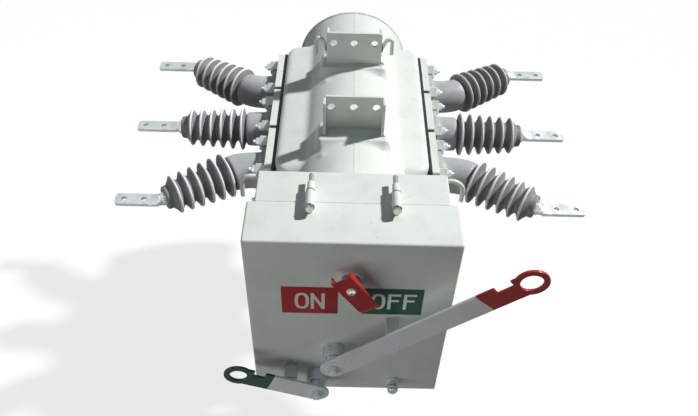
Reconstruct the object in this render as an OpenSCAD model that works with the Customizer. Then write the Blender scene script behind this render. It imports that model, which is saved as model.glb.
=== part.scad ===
// Pole-mounted gas insulated load break switch.
// A welded tank hangs by two hangers from a crossarm. Six bushings stand out of its side
// chambers, and a spring mechanism in the front housing is worked by two hook-stick levers.
// Origin: on the front hanger's flat mounting face, midway across it and below its bolt holes.
// Front is -Y, up is +Z.

/* [Hangers] */
// Height of the origin above the crest of the tank
origin_rise = 30; // [20:1:40]
// Distance between the mounting faces of the two hangers
hanger_gap = 250; // [210:1:290]
// Width of a hanger plate
hanger_w = 136; // [124:1:170]
// Height of a hanger plate above the crest of the tank
hanger_h = 90; // [80:1:120]
// Thickness of the hanger sheet
hanger_t = 6; // [4:0.5:9]
// Depth of the flanges bent away from a mounting face
hanger_flange = 30; // [22:1:45]
// Depth of the flanges' tops below a hanger's top
flange_drop = 16; // [10:0.5:30]
// Rounding of a hanger's upper corners
hanger_corner_r = 8; // [3:0.5:14]
// Height of the bolt holes above the crest
hole_rise = 62; // [50:1:66]
// Distance between neighbouring bolt holes
hole_pitch = 50; // [40:1:52]
// Diameter of the bolt holes
hole_d = 17; // [12:0.5:20]

/* [Hanger pads] */
// Width of the flat pad under a hanger
pad_w = 164; // [150:1:180]
// Length of a pad along the tank
pad_len = 96; // [80:1:110]
// Height of a pad's top above the crest
pad_rise = 1.5; // [1:0.5:4]
// Rounding of a pad's corners
pad_corner_r = 22; // [10:1:30]

/* [Tank] */
// Outside diameter of the round barrel
tank_d = 293; // [280:1:310]
// Wall thickness of the tank
tank_wall = 4; // [3:0.5:7]
// Length of the barrel
tank_len = 685; // [650:1:760]
// Distance of the barrel's front end ahead of the front mounting face
tank_lead = 182; // [170:1:210]
// Depth of the dished rear end
dish_depth = 32; // [20:1:50]
// Width across the two side chambers
chamber_w = 352; // [348:1:390]
// Length of the side chambers
chamber_len = 516; // [490:1:540]
// Height above the barrel's axis at which a chamber's side begins to round over
chamber_shoulder = 70; // [60:1:78]
// Rounding between a chamber's roof and its side
chamber_edge_r = 22; // [12:1:30]
// Slope of a chamber's roof
chamber_slope = 9; // [3:0.5:12]
// Rounding of a chamber's upright corners
chamber_corner_r = 46; // [30:1:60]

/* [Bushings] */
// Distance of the middle bushings behind the front mounting face
bushing_mid = 167; // [155:1:180]
// Distance between neighbouring bushings
bushing_pitch = 158; // [152:1:170]
// Side of a square bushing plate
plate_side = 148; // [136:1:150]
// Thickness of a bushing plate
plate_t = 20; // [14:1:26]
// Thickness of the gasket behind a bushing plate
gasket_t = 5; // [3:0.5:8]
// Outside diameter of a gasket
gasket_d = 124; // [110:1:134]
// Diameter of a bushing's spigot in the tank wall
spigot_d = 72; // [60:1:80]
// Diameter of a bushing's flange
flange_d = 118; // [108:1:124]
// Thickness of a bushing's flange
flange_t = 14; // [10:1:20]
// Diameter of the smooth base of a bushing
base_d = 86; // [78:1:96]
// Length of the smooth base ahead of the bend
base_len = 36; // [28:1:48]
// Length of base that a straight bushing has in place of the bend
straight_len = 30; // [18:1:40]
// Bend of the front and rear bushings
bend = 32; // [20:1:38]
// Radius of that bend
bend_r = 100; // [80:1:120]
// Diameter of the core under the sheds
core_d = 64; // [56:1:72]
// Diameter of the shed next to the base
shed_d = 108; // [100:1:124]
// Diameter of the outermost shed
shed_tip_d = 91; // [86:1:100]
// Number of sheds
shed_count = 6; // [4:1:8]
// Distance between neighbouring sheds
shed_pitch = 25.6; // [22:0.2:30]
// Thickness of a shed at its root
shed_root = 20; // [12:0.5:22]
// Thickness of a shed at its rim
shed_rim = 2.5; // [2:0.5:5]
// Diameter of the end cap
cap_d = 56; // [48:1:62]
// Length of the end cap beyond the last shed
cap_len = 12; // [8:1:20]

/* [Clamps] */
// Width of a clamp on a bushing's flange
clamp_w = 26; // [18:1:32]
// Reach of a clamp over the flange
clamp_reach = 9; // [5:0.5:14]
// Length of a clamp's foot on the plate
clamp_foot = 24; // [18:1:28]
// Thickness of a clamp over the flange
clamp_t = 7; // [5:0.5:10]

/* [Terminals] */
// Diameter of a terminal's stud
stud_d = 26; // [20:1:32]
// Length of stud between the cap and the palm
stud_len = 14; // [10:1:20]
// Length of a terminal palm
palm_len = 100; // [92:1:120]
// Width of a terminal palm
palm_w = 34; // [30:1:42]
// Thickness of a terminal palm
palm_t = 8; // [6:0.5:12]
// Rounding of a palm's tip
palm_corner_r = 8.5; // [4:0.5:14]
// Diameter of the palm's bolt holes
palm_hole_d = 13; // [10:0.5:15]
// Distance between the palm's bolt holes
palm_hole_pitch = 46; // [40:1:50]
// Distance of the outer hole from the palm's tip
palm_hole_edge = 20; // [15:0.5:24]

/* [Housing] */
// Height of the cover's top above the crest of the tank
cover_rise = 31.5; // [20:0.5:50]
// Width of the cover
cover_w = 420; // [410:1:460]
// Height of the cover
cover_h = 510; // [500:1:560]
// Depth of the cover
cover_depth = 109; // [95:1:130]
// Width of the frame behind the cover
frame_w = 390; // [370:1:400]
// Depth of the frame
frame_depth = 90; // [80:1:110]
// Step from the cover's top down to the frame's top
top_step = 2; // [1:0.5:5]
// Step from the frame's underside down to the cover's underside
bottom_step = 15; // [8:1:20]
// Thickness of the housing's sheet
sheet_t = 3; // [2:0.5:5]

/* [Draw bolts] */
// Distance between the two draw bolts
draw_spacing = 168; // [140:1:220]
// Height of a draw bolt above the cover's top
draw_rise = 19; // [17:0.5:26]
// Diameter of the front sleeves
sleeve_d = 18; // [16:0.5:20]
// Diameter of the rear sleeves
rear_sleeve_d = 15; // [13:0.5:18]
// Length of a front sleeve
front_sleeve_len = 42; // [34:1:50]
// Length of a rear sleeve
rear_sleeve_len = 24; // [18:1:32]
// Length of a front sleeve that reaches over the frame
sleeve_overhang = 9; // [4:0.5:12]
// Width of the rib under a sleeve
sleeve_rib = 8; // [5:0.5:12]
// Diameter of a draw bolt
draw_bolt_d = 10; // [8:0.5:12]
// Length of thread that stands out behind a rear sleeve
draw_tail = 24; // [12:1:32]
// Size of a draw bolt's head across its flats
draw_head_af = 15; // [13:0.5:18]
// Height of a draw bolt's head
draw_head = 7; // [5:0.5:10]
// Diameter of the flange under that head
draw_flange_d = 20; // [18:0.5:24]
// Thickness of that flange
draw_flange_t = 2; // [1:0.5:4]

/* [Lifting bars] */
// Diameter of the lifting bars
bar_d = 10; // [8:0.5:13]
// Radius of a lifting bar's bend
bar_bend_r = 22; // [14:1:28]
// Reach of a front hook from the frame's side
hook_reach = 36; // [31:1:46]
// Drop of a front hook
hook_drop = 58; // [48:1:75]
// Depth of a front hook below the frame's top
hook_depth = 12; // [9:0.5:20]
// Distance of a front hook ahead of the frame's back
hook_inset = 6; // [6:0.5:16]
// Height above the crest at which a rear lug leaves its hanger
lug_rise = 40; // [30:1:50]
// Length of a rear lug's rising run
lug_run = 22; // [18:1:30]
// Slant of that run
lug_slant = 58; // [45:1:70]
// Radius of a rear lug's bend
lug_bend_r = 8; // [7:0.5:12]
// Drop of a rear lug's free end
lug_drop = 32; // [20:1:40]

/* [Levers] */
// Thickness of the levers
lever_t = 6; // [4:0.5:8]
// Width of the levers
lever_w = 56; // [48:1:64]
// Distance of the levers' backs from the cover
lever_gap = 48; // [46:1:60]
// Length of the main lever, from its shaft to its ring
main_len = 478; // [400:1:520]
// Rise of the main lever at rest
main_rise = 40; // [30:0.5:48]
// Distance of the main shaft left of the cover's middle
main_left = 32; // [20:1:50]
// Height of the main shaft above the cover's underside
main_height = 164; // [150:1:180]
// Outside diameter of the main lever's ring
main_ring_d = 68; // [62:1:78]
// Hole in the main lever's ring
main_eye_d = 44; // [36:1:48]
// Length of the notch beside the main lever's ring
main_notch = 35; // [24:1:40]
// Length of the short lever, from its shaft to its ring
short_len = 182; // [165:1:210]
// Rise of the short lever at rest
short_rise = 21; // [12:0.5:30]
// Distance of the short lever's shaft left of the cover's middle
short_left = 68; // [56:1:80]
// Height of the short lever's shaft above the cover's underside
short_height = 65; // [50:1:80]
// Outside diameter of the short lever's ring
short_ring_d = 64; // [58:1:70]
// Hole in the short lever's ring
short_eye_d = 38; // [32:1:42]
// Length of the notch beside the short lever's ring
short_notch = 25; // [18:1:30]
// Depth of the notches
notch_depth = 16; // [8:1:20]
// Distance from a ring's centre to its notch
notch_back = 30; // [29:0.5:34]
// Diameter of the lever shafts
shaft_d = 32; // [26:1:36]
// Diameter of a shaft's end in its lever
spigot_end_d = 20; // [16:1:22]
// Diameter of the bushes round the lever shafts
bush_d = 48; // [44:1:56]
// Length of those bushes
bush_len = 28; // [20:1:36]
// Running clearance of a shaft in its bush, on the radius
shaft_fit = 0.05; // [0.02:0.01:0.1]
// Size of the lever bolts across their flats
bolt_af = 19; // [17:1:24]
// Height of a lever bolt's head
bolt_head = 8; // [6:0.5:12]
// Diameter of the washer under a lever bolt
washer_d = 30; // [26:1:36]
// Thickness of that washer
washer_t = 3; // [2:0.5:4]

/* [Lever stops] */
// Width of the stop bars
stop_w = 28; // [20:1:34]
// Height of the stop bars
stop_h = 28; // [18:1:34]
// Distance of the main lever's stop right of its shaft
main_stop_x = 122; // [108:1:136]
// Height of that stop's top above its shaft
main_stop_rise = 121; // [110:1:128]
// Length of the main lever's stop
main_stop_len = 42; // [30:0.5:42]
// Distance of the short lever's stop left of its shaft
short_stop_x = 59; // [48:1:68]
// Height of that stop's top above its shaft
short_stop_rise = 33; // [21:1:45]
// Length of the short lever's stop
short_stop_len = 33; // [24:0.5:41]

/* [Indicator] */
// Depth of the indicator's shaft below the cover's top
indicator_depth = 95; // [84:1:110]
// Diameter of the indicator's shaft
indicator_shaft_d = 22; // [18:1:26]
// Diameter of the indicator's bush
indicator_bush_d = 42; // [36:1:48]
// Length of the indicator's bush
indicator_bush_len = 12; // [8:0.5:12]
// Distance of the pointer's face from the cover
pointer_gap = 38; // [36.5:0.5:42]
// Thickness of the pointer's sheet
pointer_t = 2.5; // [2:0.5:4]
// Width of the pointer
pointer_w = 44; // [40:1:50]
// Length of the pointer above its shaft
pointer_head = 37; // [30:1:44]
// Length of the pointer below its shaft
pointer_tail = 77; // [66:1:84]
// Depth of the pointer's side wings
wing_depth = 18; // [10:0.5:18]
// Length of the pointer's side wings
wing_len = 72; // [56:1:90]
// Length of the lip at the pointing end
lip_len = 14; // [8:1:18]
// Bend of that lip towards the cover
lip_bend = 20; // [5:1:30]
// Slant of the pointer at rest, below the level
pointer_slant = 56; // [48:1:62]

/* [Earth stud] */
// Distance of the earth stud right of the cover's middle
earth_x = 106; // [90:1:130]
// Height of the earth stud above the cover's underside
earth_height = 40; // [30:1:50]
// Diameter of the earth stud
earth_d = 12; // [10:1:14]
// Length of the earth stud
earth_len = 32; // [28:1:38]
// Diameter of the boss behind the earth nut
earth_boss_d = 30; // [26:1:34]
// Thickness of that boss
earth_boss_t = 5; // [3:0.5:8]
// Size of the earth nut across its flats
earth_nut_af = 20; // [18:1:24]
// Height of the earth nut
earth_nut_h = 11; // [8:0.5:14]

/* [Hidden] */
$fn = 96;
seat = 0.2;
slack = 0.5;
over = 1;
edge_steps = 8;
dish_steps = 14;
lap = 2;
mould_step = 0.5;
tank_r = tank_d / 2;
crest_z = -origin_rise;
hole_z = crest_z + hole_rise;
axis_z = crest_z - tank_r;
tank_front = -tank_lead;
tank_rear = tank_front + tank_len;
frame_front = tank_front - frame_depth;
cover_front = frame_front - cover_depth;
cover_top = crest_z + cover_rise;
cover_floor = cover_top - cover_h;
frame_top = cover_top - top_step;
frame_floor = cover_floor + bottom_step;
chamber_side = chamber_w / 2;
plate_face = chamber_side + gasket_t + plate_t;
main_z = cover_floor + main_height;
short_z = cover_floor + short_height;
earth_z = cover_floor + earth_height;
indicator_z = cover_top - indicator_depth;
pad_top = crest_z + pad_rise;
lever_back = cover_front - lever_gap;
lever_front = lever_back - lever_t;
pointer_front = cover_front - pointer_gap;
pointer_back = pointer_front + pointer_t;
shaft_inside = 30;
stack_len = shed_pitch * shed_count;
shed_share = 0.45;
grey = [0.84, 0.87, 0.84];
rubber_grey = [0.47, 0.46, 0.46];
zinc = [0.72, 0.74, 0.76];
tinned = [0.80, 0.83, 0.85];
signal_red = [0.65, 0.13, 0.14];
signal_green = [0.13, 0.33, 0.25];
seal_black = [0.05, 0.05, 0.05];

SIDES = [["left", -1], ["right", 1]];
PLACES = [["front", -1], ["middle", 0], ["rear", 1]];

// Outlines drawn in X and Z, carried back along Y from y0 to y1
module along_y(y0, y1) {
    translate([0, y1, 0]) rotate([90, 0, 0]) linear_extrude(y1 - y0) children();
}

// Round bar along Y from y0 to y1, about the point x, z
module rod_y(d, y0, y1, x = 0, z = 0, sides = 96) {
    translate([x, y1, z]) rotate([90, 0, 0]) cylinder(d = d, h = y1 - y0, $fn = sides);
}

// Block between two corners
module block(low, high) {
    translate(low) cube(high - low);
}

// Rectangle with round corners, about its centre
module round_rect(w, h, r) {
    square([w - 2 * r, h], center = true);
    square([w, h - 2 * r], center = true);
    for (x = [-1, 1], y = [-1, 1]) translate([x * (w / 2 - r), y * (h / 2 - r)]) circle(r);
}

// Hexagon of a given size across its flats, with one flat on top
module hexagon(af) {
    circle(d = af / cos(180 / 6), $fn = 6);
}

// Points on an arc about a centre
function arc(centre, r, from, to, steps) =
    [for (k = [0:steps]) let (a = from + (to - from) * k / steps) centre + r * [cos(a), sin(a)]];

// Upper right quarter of the chambers' section, from the side round to the middle of the roof
function chamber_quarter(inset) =
    let (edge = arc([chamber_side - chamber_edge_r, chamber_shoulder], chamber_edge_r - inset,
                    0, 90 - chamber_slope, edge_steps),
         top = edge[edge_steps])
    concat(edge, [[0, top[1] + top[0] * tan(chamber_slope)]]);

module chamber_section(inset) {
    quarter = chamber_quarter(inset);
    for (mx = [0, 1]) mirror([mx, 0]) for (my = [0, 1]) mirror([0, my])
        polygon(concat([[-over, -over], [quarter[0][0], -over]], quarter,
                       [[-over, quarter[len(quarter) - 1][1]]]));
}

// Rectangle whose corners are rounded by a few flats, about its centre
module pressed_plan(w, l, r) {
    polygon([for (c = [[1, 1, 0], [-1, 1, 90], [-1, -1, 180], [1, -1, 270]])
        each arc([c[0] * (w / 2 - r), c[1] * (l / 2 - r)], r, c[2], c[2] + 90, edge_steps)]);
}

module chambers(inset) {
    intersection() {
        along_y(bushing_mid - chamber_len, bushing_mid + chamber_len) chamber_section(inset);
        translate([0, bushing_mid, -tank_r]) linear_extrude(tank_d)
            pressed_plan(chamber_w - 2 * inset, chamber_len - 2 * inset, chamber_corner_r - inset);
    }
}

// Everything that a bushing's fittings share: local +X points outward from the plate's face
module at_bushing(side, place) {
    mirror([side < 0 ? 1 : 0, 0, 0])
        translate([plate_face, bushing_mid + place * bushing_pitch, axis_z]) children();
}

module rod_x(d, x0, x1, sides = 96) {
    translate([x0, 0, 0]) rotate([0, 90, 0]) cylinder(d = d, h = x1 - x0, $fn = sides);
}

module tank_shell() color(grey) difference() {
    translate([0, 0, axis_z]) union() {
        along_y(tank_front, tank_rear) circle(tank_r);
        chambers(0);
    }
    translate([0, 0, axis_z]) union() {
        along_y(tank_front - over, tank_rear + over) circle(tank_r - tank_wall);
        chambers(tank_wall);
    }
    for (s = SIDES, p = PLACES) at_bushing(s[1], p[1])
        rod_x(spigot_d + 2 * slack, -plate_t - gasket_t - 2 * tank_wall, 0);
}

module tank_front_end() color(grey)
    translate([0, 0, axis_z]) along_y(tank_front, tank_front + tank_wall) circle(tank_r - tank_wall - seat);

// Revolved shell: a shallow arc from the barrel's rim to the middle
module tank_rear_end() color(grey) {
    dish_r = (tank_r * tank_r + dish_depth * dish_depth) / (2 * dish_depth);
    centre = [0, dish_depth - dish_r];
    rim = asin((dish_r - dish_depth) / dish_r);
    inner = asin((dish_r - dish_depth) / (dish_r - tank_wall));
    translate([0, tank_rear, axis_z]) rotate([-90, 0, 0]) rotate_extrude()
        polygon(concat(arc(centre, dish_r, rim, 90, dish_steps),
                       arc(centre, dish_r - tank_wall, 90, inner, dish_steps)));
}

module mechanism_frame() color(grey) difference() {
    block([-frame_w / 2, frame_front, frame_floor], [frame_w / 2, tank_front, frame_top]);
    block([-frame_w / 2 + sheet_t, frame_front - over, frame_floor + sheet_t],
          [frame_w / 2 - sheet_t, tank_front - sheet_t, frame_top - sheet_t]);
}

// The cover's turned-in rim closes the step down to the frame
module mechanism_cover() color(grey) difference() {
    block([-cover_w / 2, cover_front, cover_floor], [cover_w / 2, frame_front, cover_top]);
    block([-cover_w / 2 + sheet_t, cover_front + sheet_t, cover_floor + sheet_t],
          [cover_w / 2 - sheet_t, frame_front - sheet_t, cover_top - sheet_t]);
    block([-frame_w / 2 + sheet_t, frame_front - 2 * sheet_t, frame_floor + sheet_t],
          [frame_w / 2 - sheet_t, frame_front + over, frame_top - sheet_t]);
    for (hole = [[-main_left, main_z, shaft_d], [-short_left, short_z, shaft_d],
                 [0, indicator_z, indicator_shaft_d]])
        rod_y(hole[2] + 2 * slack, cover_front - over, cover_front + 2 * sheet_t, hole[0], hole[1]);
}

// Flat pads raised on the barrel, one under each hanger
module hanger_pads() color(grey) difference() {
    for (y = [-hanger_flange / 2, hanger_gap + hanger_flange / 2]) translate([0, y, axis_z])
        linear_extrude(pad_top - axis_z) pressed_plan(pad_w, pad_len, pad_corner_r);
    rod_y(tank_d + 2 * seat, tank_front, tank_rear, 0, axis_z);
    translate([0, 0, axis_z]) chambers(-seat);
}

// A channel on its pad: the plate carries the bolts, and its flanges stand back from the mounting face
module hanger(back) {
    flat = back > 0 ? 0 : -hanger_t;
    flange = back > 0 ? 0 : -hanger_flange;
    difference() {
        union() {
            along_y(flat, flat + hanger_t) intersection() {
                translate([0, crest_z + hanger_h / 2 - tank_r / 2])
                    round_rect(hanger_w, hanger_h + tank_r, hanger_corner_r);
                translate([-hanger_w / 2, pad_top]) square([hanger_w, hanger_h]);
            }
            for (x = [-hanger_w / 2, hanger_w / 2 - hanger_t])
                block([x, flange, pad_top],
                      [x + hanger_t, flange + hanger_flange, crest_z + hanger_h - flange_drop]);
        }
        for (k = [-1:1]) rod_y(hole_d, -2 * hanger_t, 2 * hanger_t, k * hole_pitch, hole_z);
    }
}

module front_hanger() color(grey) hanger(-1);
module rear_hanger() color(grey) translate([0, hanger_gap, 0]) hanger(1);

// Round bar that reaches out along +X and bends down
module bent_bar(reach, drop) {
    rod_x(bar_d, 0, reach - bar_bend_r);
    translate([reach - bar_bend_r, 0, -bar_bend_r]) rotate([90, 0, 0])
        rotate_extrude(angle = 90) translate([bar_bend_r, 0]) circle(d = bar_d, $fn = 48);
    translate([reach, 0, -drop]) cylinder(d = bar_d, h = drop - bar_bend_r, $fn = 48);
}

module lifting_hooks() color(grey) for (m = [0, 1]) mirror([m, 0, 0])
    translate([frame_w / 2, tank_front - hook_inset, frame_top - hook_depth])
        bent_bar(hook_reach, hook_drop);

// Round bar that rises along +X from a wall, bends over and hangs down
module rising_bar() {
    bend_from = lug_run * [cos(lug_slant), 0, sin(lug_slant)];
    centre = bend_from + lug_bend_r * [sin(lug_slant), 0, -cos(lug_slant)];
    rotate([0, 90 - lug_slant, 0]) translate([0, 0, -bar_d])
        cylinder(d = bar_d, h = bar_d + lug_run + lap, $fn = 48);
    translate(centre) rotate([90, 0, 0]) rotate_extrude(angle = 90 + lug_slant)
        translate([lug_bend_r, 0]) circle(d = bar_d - mould_step, $fn = 48);
    translate(centre + [lug_bend_r, 0, -lug_drop]) cylinder(d = bar_d, h = lug_drop + lap, $fn = 48);
}

// Each lug is cut off flush where it is welded to the hanger's flange
module lifting_lugs() color(grey) for (m = [0, 1]) mirror([m, 0, 0])
    translate([hanger_w / 2, hanger_gap + hanger_flange / 2, crest_z + lug_rise]) difference() {
        rising_bar();
        block([-2 * bar_d, -bar_d, -2 * bar_d], [0, bar_d, 2 * bar_d]);
    }

module bushing_gaskets() color(seal_black) for (s = SIDES, p = PLACES) at_bushing(s[1], p[1])
    difference() {
        rod_x(gasket_d, -plate_t - gasket_t, -plate_t);
        rod_x(spigot_d + 2 * slack, -plate_t - gasket_t - over, -plate_t + over);
    }

module bushing_plate(side, place) color(grey) at_bushing(side, place) difference() {
    block([-plate_t, -plate_side / 2, -plate_side / 2], [0, plate_side / 2, plate_side / 2]);
    rod_x(spigot_d + 2 * slack, -plate_t - over, over);
}

// A clamp stands on the plate beside the flange and reaches over its rim
module bushing_clamps() color(grey) for (s = SIDES, p = PLACES) at_bushing(s[1], p[1])
    for (turn = [45:90:315]) rotate([turn, 0, 0]) {
        foot = flange_d / 2 + slack;
        block([0, -clamp_w / 2, foot], [flange_t, clamp_w / 2, foot + clamp_foot]);
        block([flange_t, -clamp_w / 2, foot - clamp_reach],
              [flange_t + clamp_t, clamp_w / 2, foot + clamp_foot]);
    }

// Where the shed stack of a bushing starts, and the way it then points
function stack_start(place) = place == 0
    ? [base_len + straight_len, 0, 0]
    : [base_len + bend_r * sin(bend), place * bend_r * (1 - cos(bend)), 0];
function stack_way(place) = [cos(bend * place), sin(bend * place), 0];
function shed_r(k) = (shed_d + (shed_tip_d - shed_d) * k / (shed_count - 1)) / 2;

// One revolved profile: each shed is a disc that thins from its root at the core to its rim
module shed_stack() {
    core = core_d / 2;
    profile = concat(
        [[0, -lap], [base_d / 2, -lap], [base_d / 2, 0]],
        [for (k = [0:shed_count - 1]) let (middle = (k + shed_share) * shed_pitch) each [
            [core, middle - shed_root / 2],
            [shed_r(k), middle - shed_rim / 2],
            [shed_r(k), middle + shed_rim / 2],
            [core, middle + shed_root / 2]]],
        [[core, stack_len], [cap_d / 2, stack_len],
         [cap_d / 2, stack_len + cap_len], [0, stack_len + cap_len]]);
    rotate([0, 90, 0]) rotate_extrude() polygon(profile);
}

module bushing(side, place) color(rubber_grey) at_bushing(side, place) {
    rod_x(spigot_d, -plate_t - gasket_t - tank_wall, 0);
    rod_x(flange_d, 0, flange_t);
    rod_x(base_d, 0, place == 0 ? base_len + straight_len - lap : base_len + lap);
    if (place != 0) mirror([0, place < 0 ? 1 : 0, 0]) translate([base_len, bend_r, 0]) rotate(-90)
        rotate_extrude(angle = bend) translate([bend_r, 0]) circle(d = base_d - 2 * mould_step);
    translate(stack_start(place)) rotate(bend * place) shed_stack();
}

// The stud follows the bushing, and the palm lies level and square to the tank
module terminal(side, place) color(tinned) at_bushing(side, place) {
    root = stack_start(place) + stack_way(place) * (stack_len + cap_len);
    palm = root + stack_way(place) * stud_len;
    translate(root) rotate(bend * place) rod_x(stud_d, 0, stud_len, 48);
    translate(palm) difference() {
        union() {
            side = palm_w / 2 - palm_corner_r;
            block([0, -palm_w / 2, -palm_t / 2], [palm_len - palm_corner_r, palm_w / 2, palm_t / 2]);
            block([0, -side, -palm_t / 2], [palm_len, side, palm_t / 2]);
            for (y = [-side, side]) translate([palm_len - palm_corner_r, y, -palm_t / 2])
                cylinder(r = palm_corner_r, h = palm_t);
        }
        for (x = [palm_len - palm_hole_edge, palm_len - palm_hole_edge - palm_hole_pitch])
            translate([x, 0, -palm_t]) cylinder(d = palm_hole_d, h = 2 * palm_t);
    }
}

// A pair of pieces, one at each draw bolt
module at_draw_bolts() {
    for (x = [-1, 1]) translate([x * draw_spacing / 2, frame_front, cover_top + draw_rise]) children();
}

module sleeve(d, y0, y1, rib0, rib1, foot) difference() {
    union() {
        rod_y(d, y0, y1);
        block([-sleeve_rib / 2, rib0, foot], [sleeve_rib / 2, rib1, 0]);
    }
    rod_y(draw_bolt_d + slack, y0 - over, y1 + over);
}

module cover_sleeves() color(grey) at_draw_bolts()
    sleeve(sleeve_d, sleeve_overhang - front_sleeve_len, sleeve_overhang,
           sleeve_overhang - front_sleeve_len, -slack, -draw_rise);

module frame_sleeves() color(grey) at_draw_bolts()
    sleeve(rear_sleeve_d, sleeve_overhang + seat, sleeve_overhang + rear_sleeve_len,
           sleeve_overhang + seat, sleeve_overhang + rear_sleeve_len, -draw_rise - top_step);

module draw_bolts() color(zinc) at_draw_bolts() {
    head = sleeve_overhang - front_sleeve_len;
    rod_y(draw_bolt_d, head - over, sleeve_overhang + rear_sleeve_len + draw_tail);
    rod_y(draw_flange_d, head - draw_flange_t, head);
    along_y(head - draw_flange_t - draw_head, head - draw_flange_t) hexagon(draw_head_af);
}

// Bush on the cover's face round a shaft
module bush(d, len, bore, x, z) difference() {
    rod_y(d, cover_front - len, cover_front, x, z);
    rod_y(bore + 2 * shaft_fit, cover_front - len - over, cover_front + over, x, z);
}

module main_bush() color(zinc) bush(bush_d, bush_len, shaft_d, -main_left, main_z);
module short_bush() color(zinc) bush(bush_d, bush_len, shaft_d, -short_left, short_z);
module indicator_bush() color(zinc)
    bush(indicator_bush_d, indicator_bush_len, indicator_shaft_d, 0, indicator_z);

module stop_bar(x, top, len) {
    block([x - stop_w / 2, cover_front - len, top - stop_h], [x + stop_w / 2, cover_front, top]);
}

module main_stop() color(grey) stop_bar(main_stop_x - main_left, main_z + main_stop_rise, main_stop_len);
module short_stop() color(grey)
    stop_bar(-short_stop_x - short_left, short_z + short_stop_rise, short_stop_len);

module earth_stud() color(zinc) translate([earth_x, cover_front, earth_z]) {
    rod_y(earth_boss_d, -earth_boss_t, 0);
    along_y(-earth_boss_t - earth_nut_h, -earth_boss_t) hexagon(earth_nut_af);
    rod_y(earth_d, -earth_len, 0);
}

// Shaft through its bush, turned down where the lever sits on it
module lever_shaft(x, z) {
    rod_y(shaft_d, lever_back, cover_front + shaft_inside, x, z);
    rod_y(spigot_end_d, lever_front, lever_back + over, x, z);
}

// Lever outline along +X from its shaft to its ring, with the notch on its upper edge
module lever_outline(len, ring_d, eye_d, notch) difference() {
    union() {
        circle(d = lever_w);
        translate([0, -lever_w / 2]) square([len, lever_w]);
        translate([len, 0]) circle(d = ring_d);
    }
    translate([len - notch_back - notch, lever_w / 2 - notch_depth]) square([notch, ring_d]);
    translate([len, 0]) circle(d = eye_d);
    circle(d = spigot_end_d + 2 * slack);
}

module main_lever() color(grey) translate([-main_left, 0, main_z])
    along_y(lever_front, lever_back) rotate(main_rise)
        lever_outline(main_len, main_ring_d, main_eye_d, main_notch);

module short_lever() color(grey) translate([-short_left, 0, short_z])
    along_y(lever_front, lever_back) mirror([1, 0]) rotate(short_rise)
        lever_outline(short_len, short_ring_d, short_eye_d, short_notch);

module lever_bolt(x, z) translate([x, 0, z]) {
    rod_y(washer_d, lever_front - washer_t, lever_front);
    along_y(lever_front - washer_t - bolt_head, lever_front - washer_t) hexagon(bolt_af);
}

module main_shaft() color(zinc) lever_shaft(-main_left, main_z);
module main_bolt() color(zinc) lever_bolt(-main_left, main_z);
module short_shaft() color(zinc) lever_shaft(-short_left, short_z);
module short_bolt() color(zinc) lever_bolt(-short_left, short_z);

module indicator_shaft() color(zinc)
    rod_y(indicator_shaft_d, pointer_back, cover_front + shaft_inside, 0, indicator_z);

// Folded sheet: a flat face, a lip bent back at the pointing end, and two wings that taper towards it
module indicator_pointer() color(signal_red)
    translate([0, pointer_front, indicator_z]) rotate([0, pointer_slant, 0]) {
        fold = pointer_tail - lip_len;
        tip = [fold, 0] + lip_len * [cos(lip_bend), sin(lip_bend)];
        translate([0, 0, -pointer_w / 2]) linear_extrude(pointer_w)
            polygon([[-pointer_head, 0], [fold, 0], tip, tip + pointer_t * [-sin(lip_bend), cos(lip_bend)],
                     [fold - pointer_t * tan(lip_bend / 2), pointer_t], [-pointer_head, pointer_t]]);
        for (z = [-pointer_w / 2, pointer_w / 2 - pointer_t]) translate([0, 0, z]) linear_extrude(pointer_t)
            polygon([[-pointer_head, 0], [-pointer_head, wing_depth],
                     [wing_len - pointer_head, pointer_t], [wing_len - pointer_head, 0]]);
    }

tank_shell();
tank_front_end();
tank_rear_end();
mechanism_frame();
mechanism_cover();
hanger_pads();
front_hanger();
rear_hanger();
lifting_hooks();
lifting_lugs();
bushing_gaskets();
bushing_clamps();
for (s = SIDES, p = PLACES) {
    bushing_plate(s[1], p[1]);
    bushing(s[1], p[1]);
    terminal(s[1], p[1]);
}
cover_sleeves();
frame_sleeves();
draw_bolts();
main_bush();
short_bush();
indicator_bush();
main_stop();
short_stop();
earth_stud();
main_shaft();
main_lever();
main_bolt();
short_shaft();
short_lever();
short_bolt();
indicator_shaft();
indicator_pointer();
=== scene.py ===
# %% [markdown]
# # Dressing a pole-mounted load break switch
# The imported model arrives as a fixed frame: every solid is already at its real size and place, in metres.
# This notebook gives it its looks. Pressed sheet gets soft edges, the welded tank and the rubber bushings are
# worked out as smooth surfaces, and every finish is a material made of nodes.

# %% Load the frame
import bpy
import bmesh
import numpy as np
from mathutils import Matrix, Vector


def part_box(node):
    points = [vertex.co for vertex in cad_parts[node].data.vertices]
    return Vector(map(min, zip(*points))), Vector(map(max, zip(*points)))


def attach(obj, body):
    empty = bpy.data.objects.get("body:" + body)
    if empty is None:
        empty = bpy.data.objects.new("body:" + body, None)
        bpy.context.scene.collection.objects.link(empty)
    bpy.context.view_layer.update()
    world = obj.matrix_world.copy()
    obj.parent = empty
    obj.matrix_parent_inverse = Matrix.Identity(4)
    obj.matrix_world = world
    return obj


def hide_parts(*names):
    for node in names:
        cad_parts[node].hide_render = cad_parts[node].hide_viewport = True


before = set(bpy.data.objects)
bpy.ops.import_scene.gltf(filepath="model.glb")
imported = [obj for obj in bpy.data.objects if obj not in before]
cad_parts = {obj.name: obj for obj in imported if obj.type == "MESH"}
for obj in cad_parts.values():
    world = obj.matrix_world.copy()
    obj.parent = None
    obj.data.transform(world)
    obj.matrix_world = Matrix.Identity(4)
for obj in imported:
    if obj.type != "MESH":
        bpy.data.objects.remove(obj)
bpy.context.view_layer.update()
scene = bpy.context.scene
scene.view_settings.view_transform = "Standard"
ROOT = "switch_body"

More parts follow.
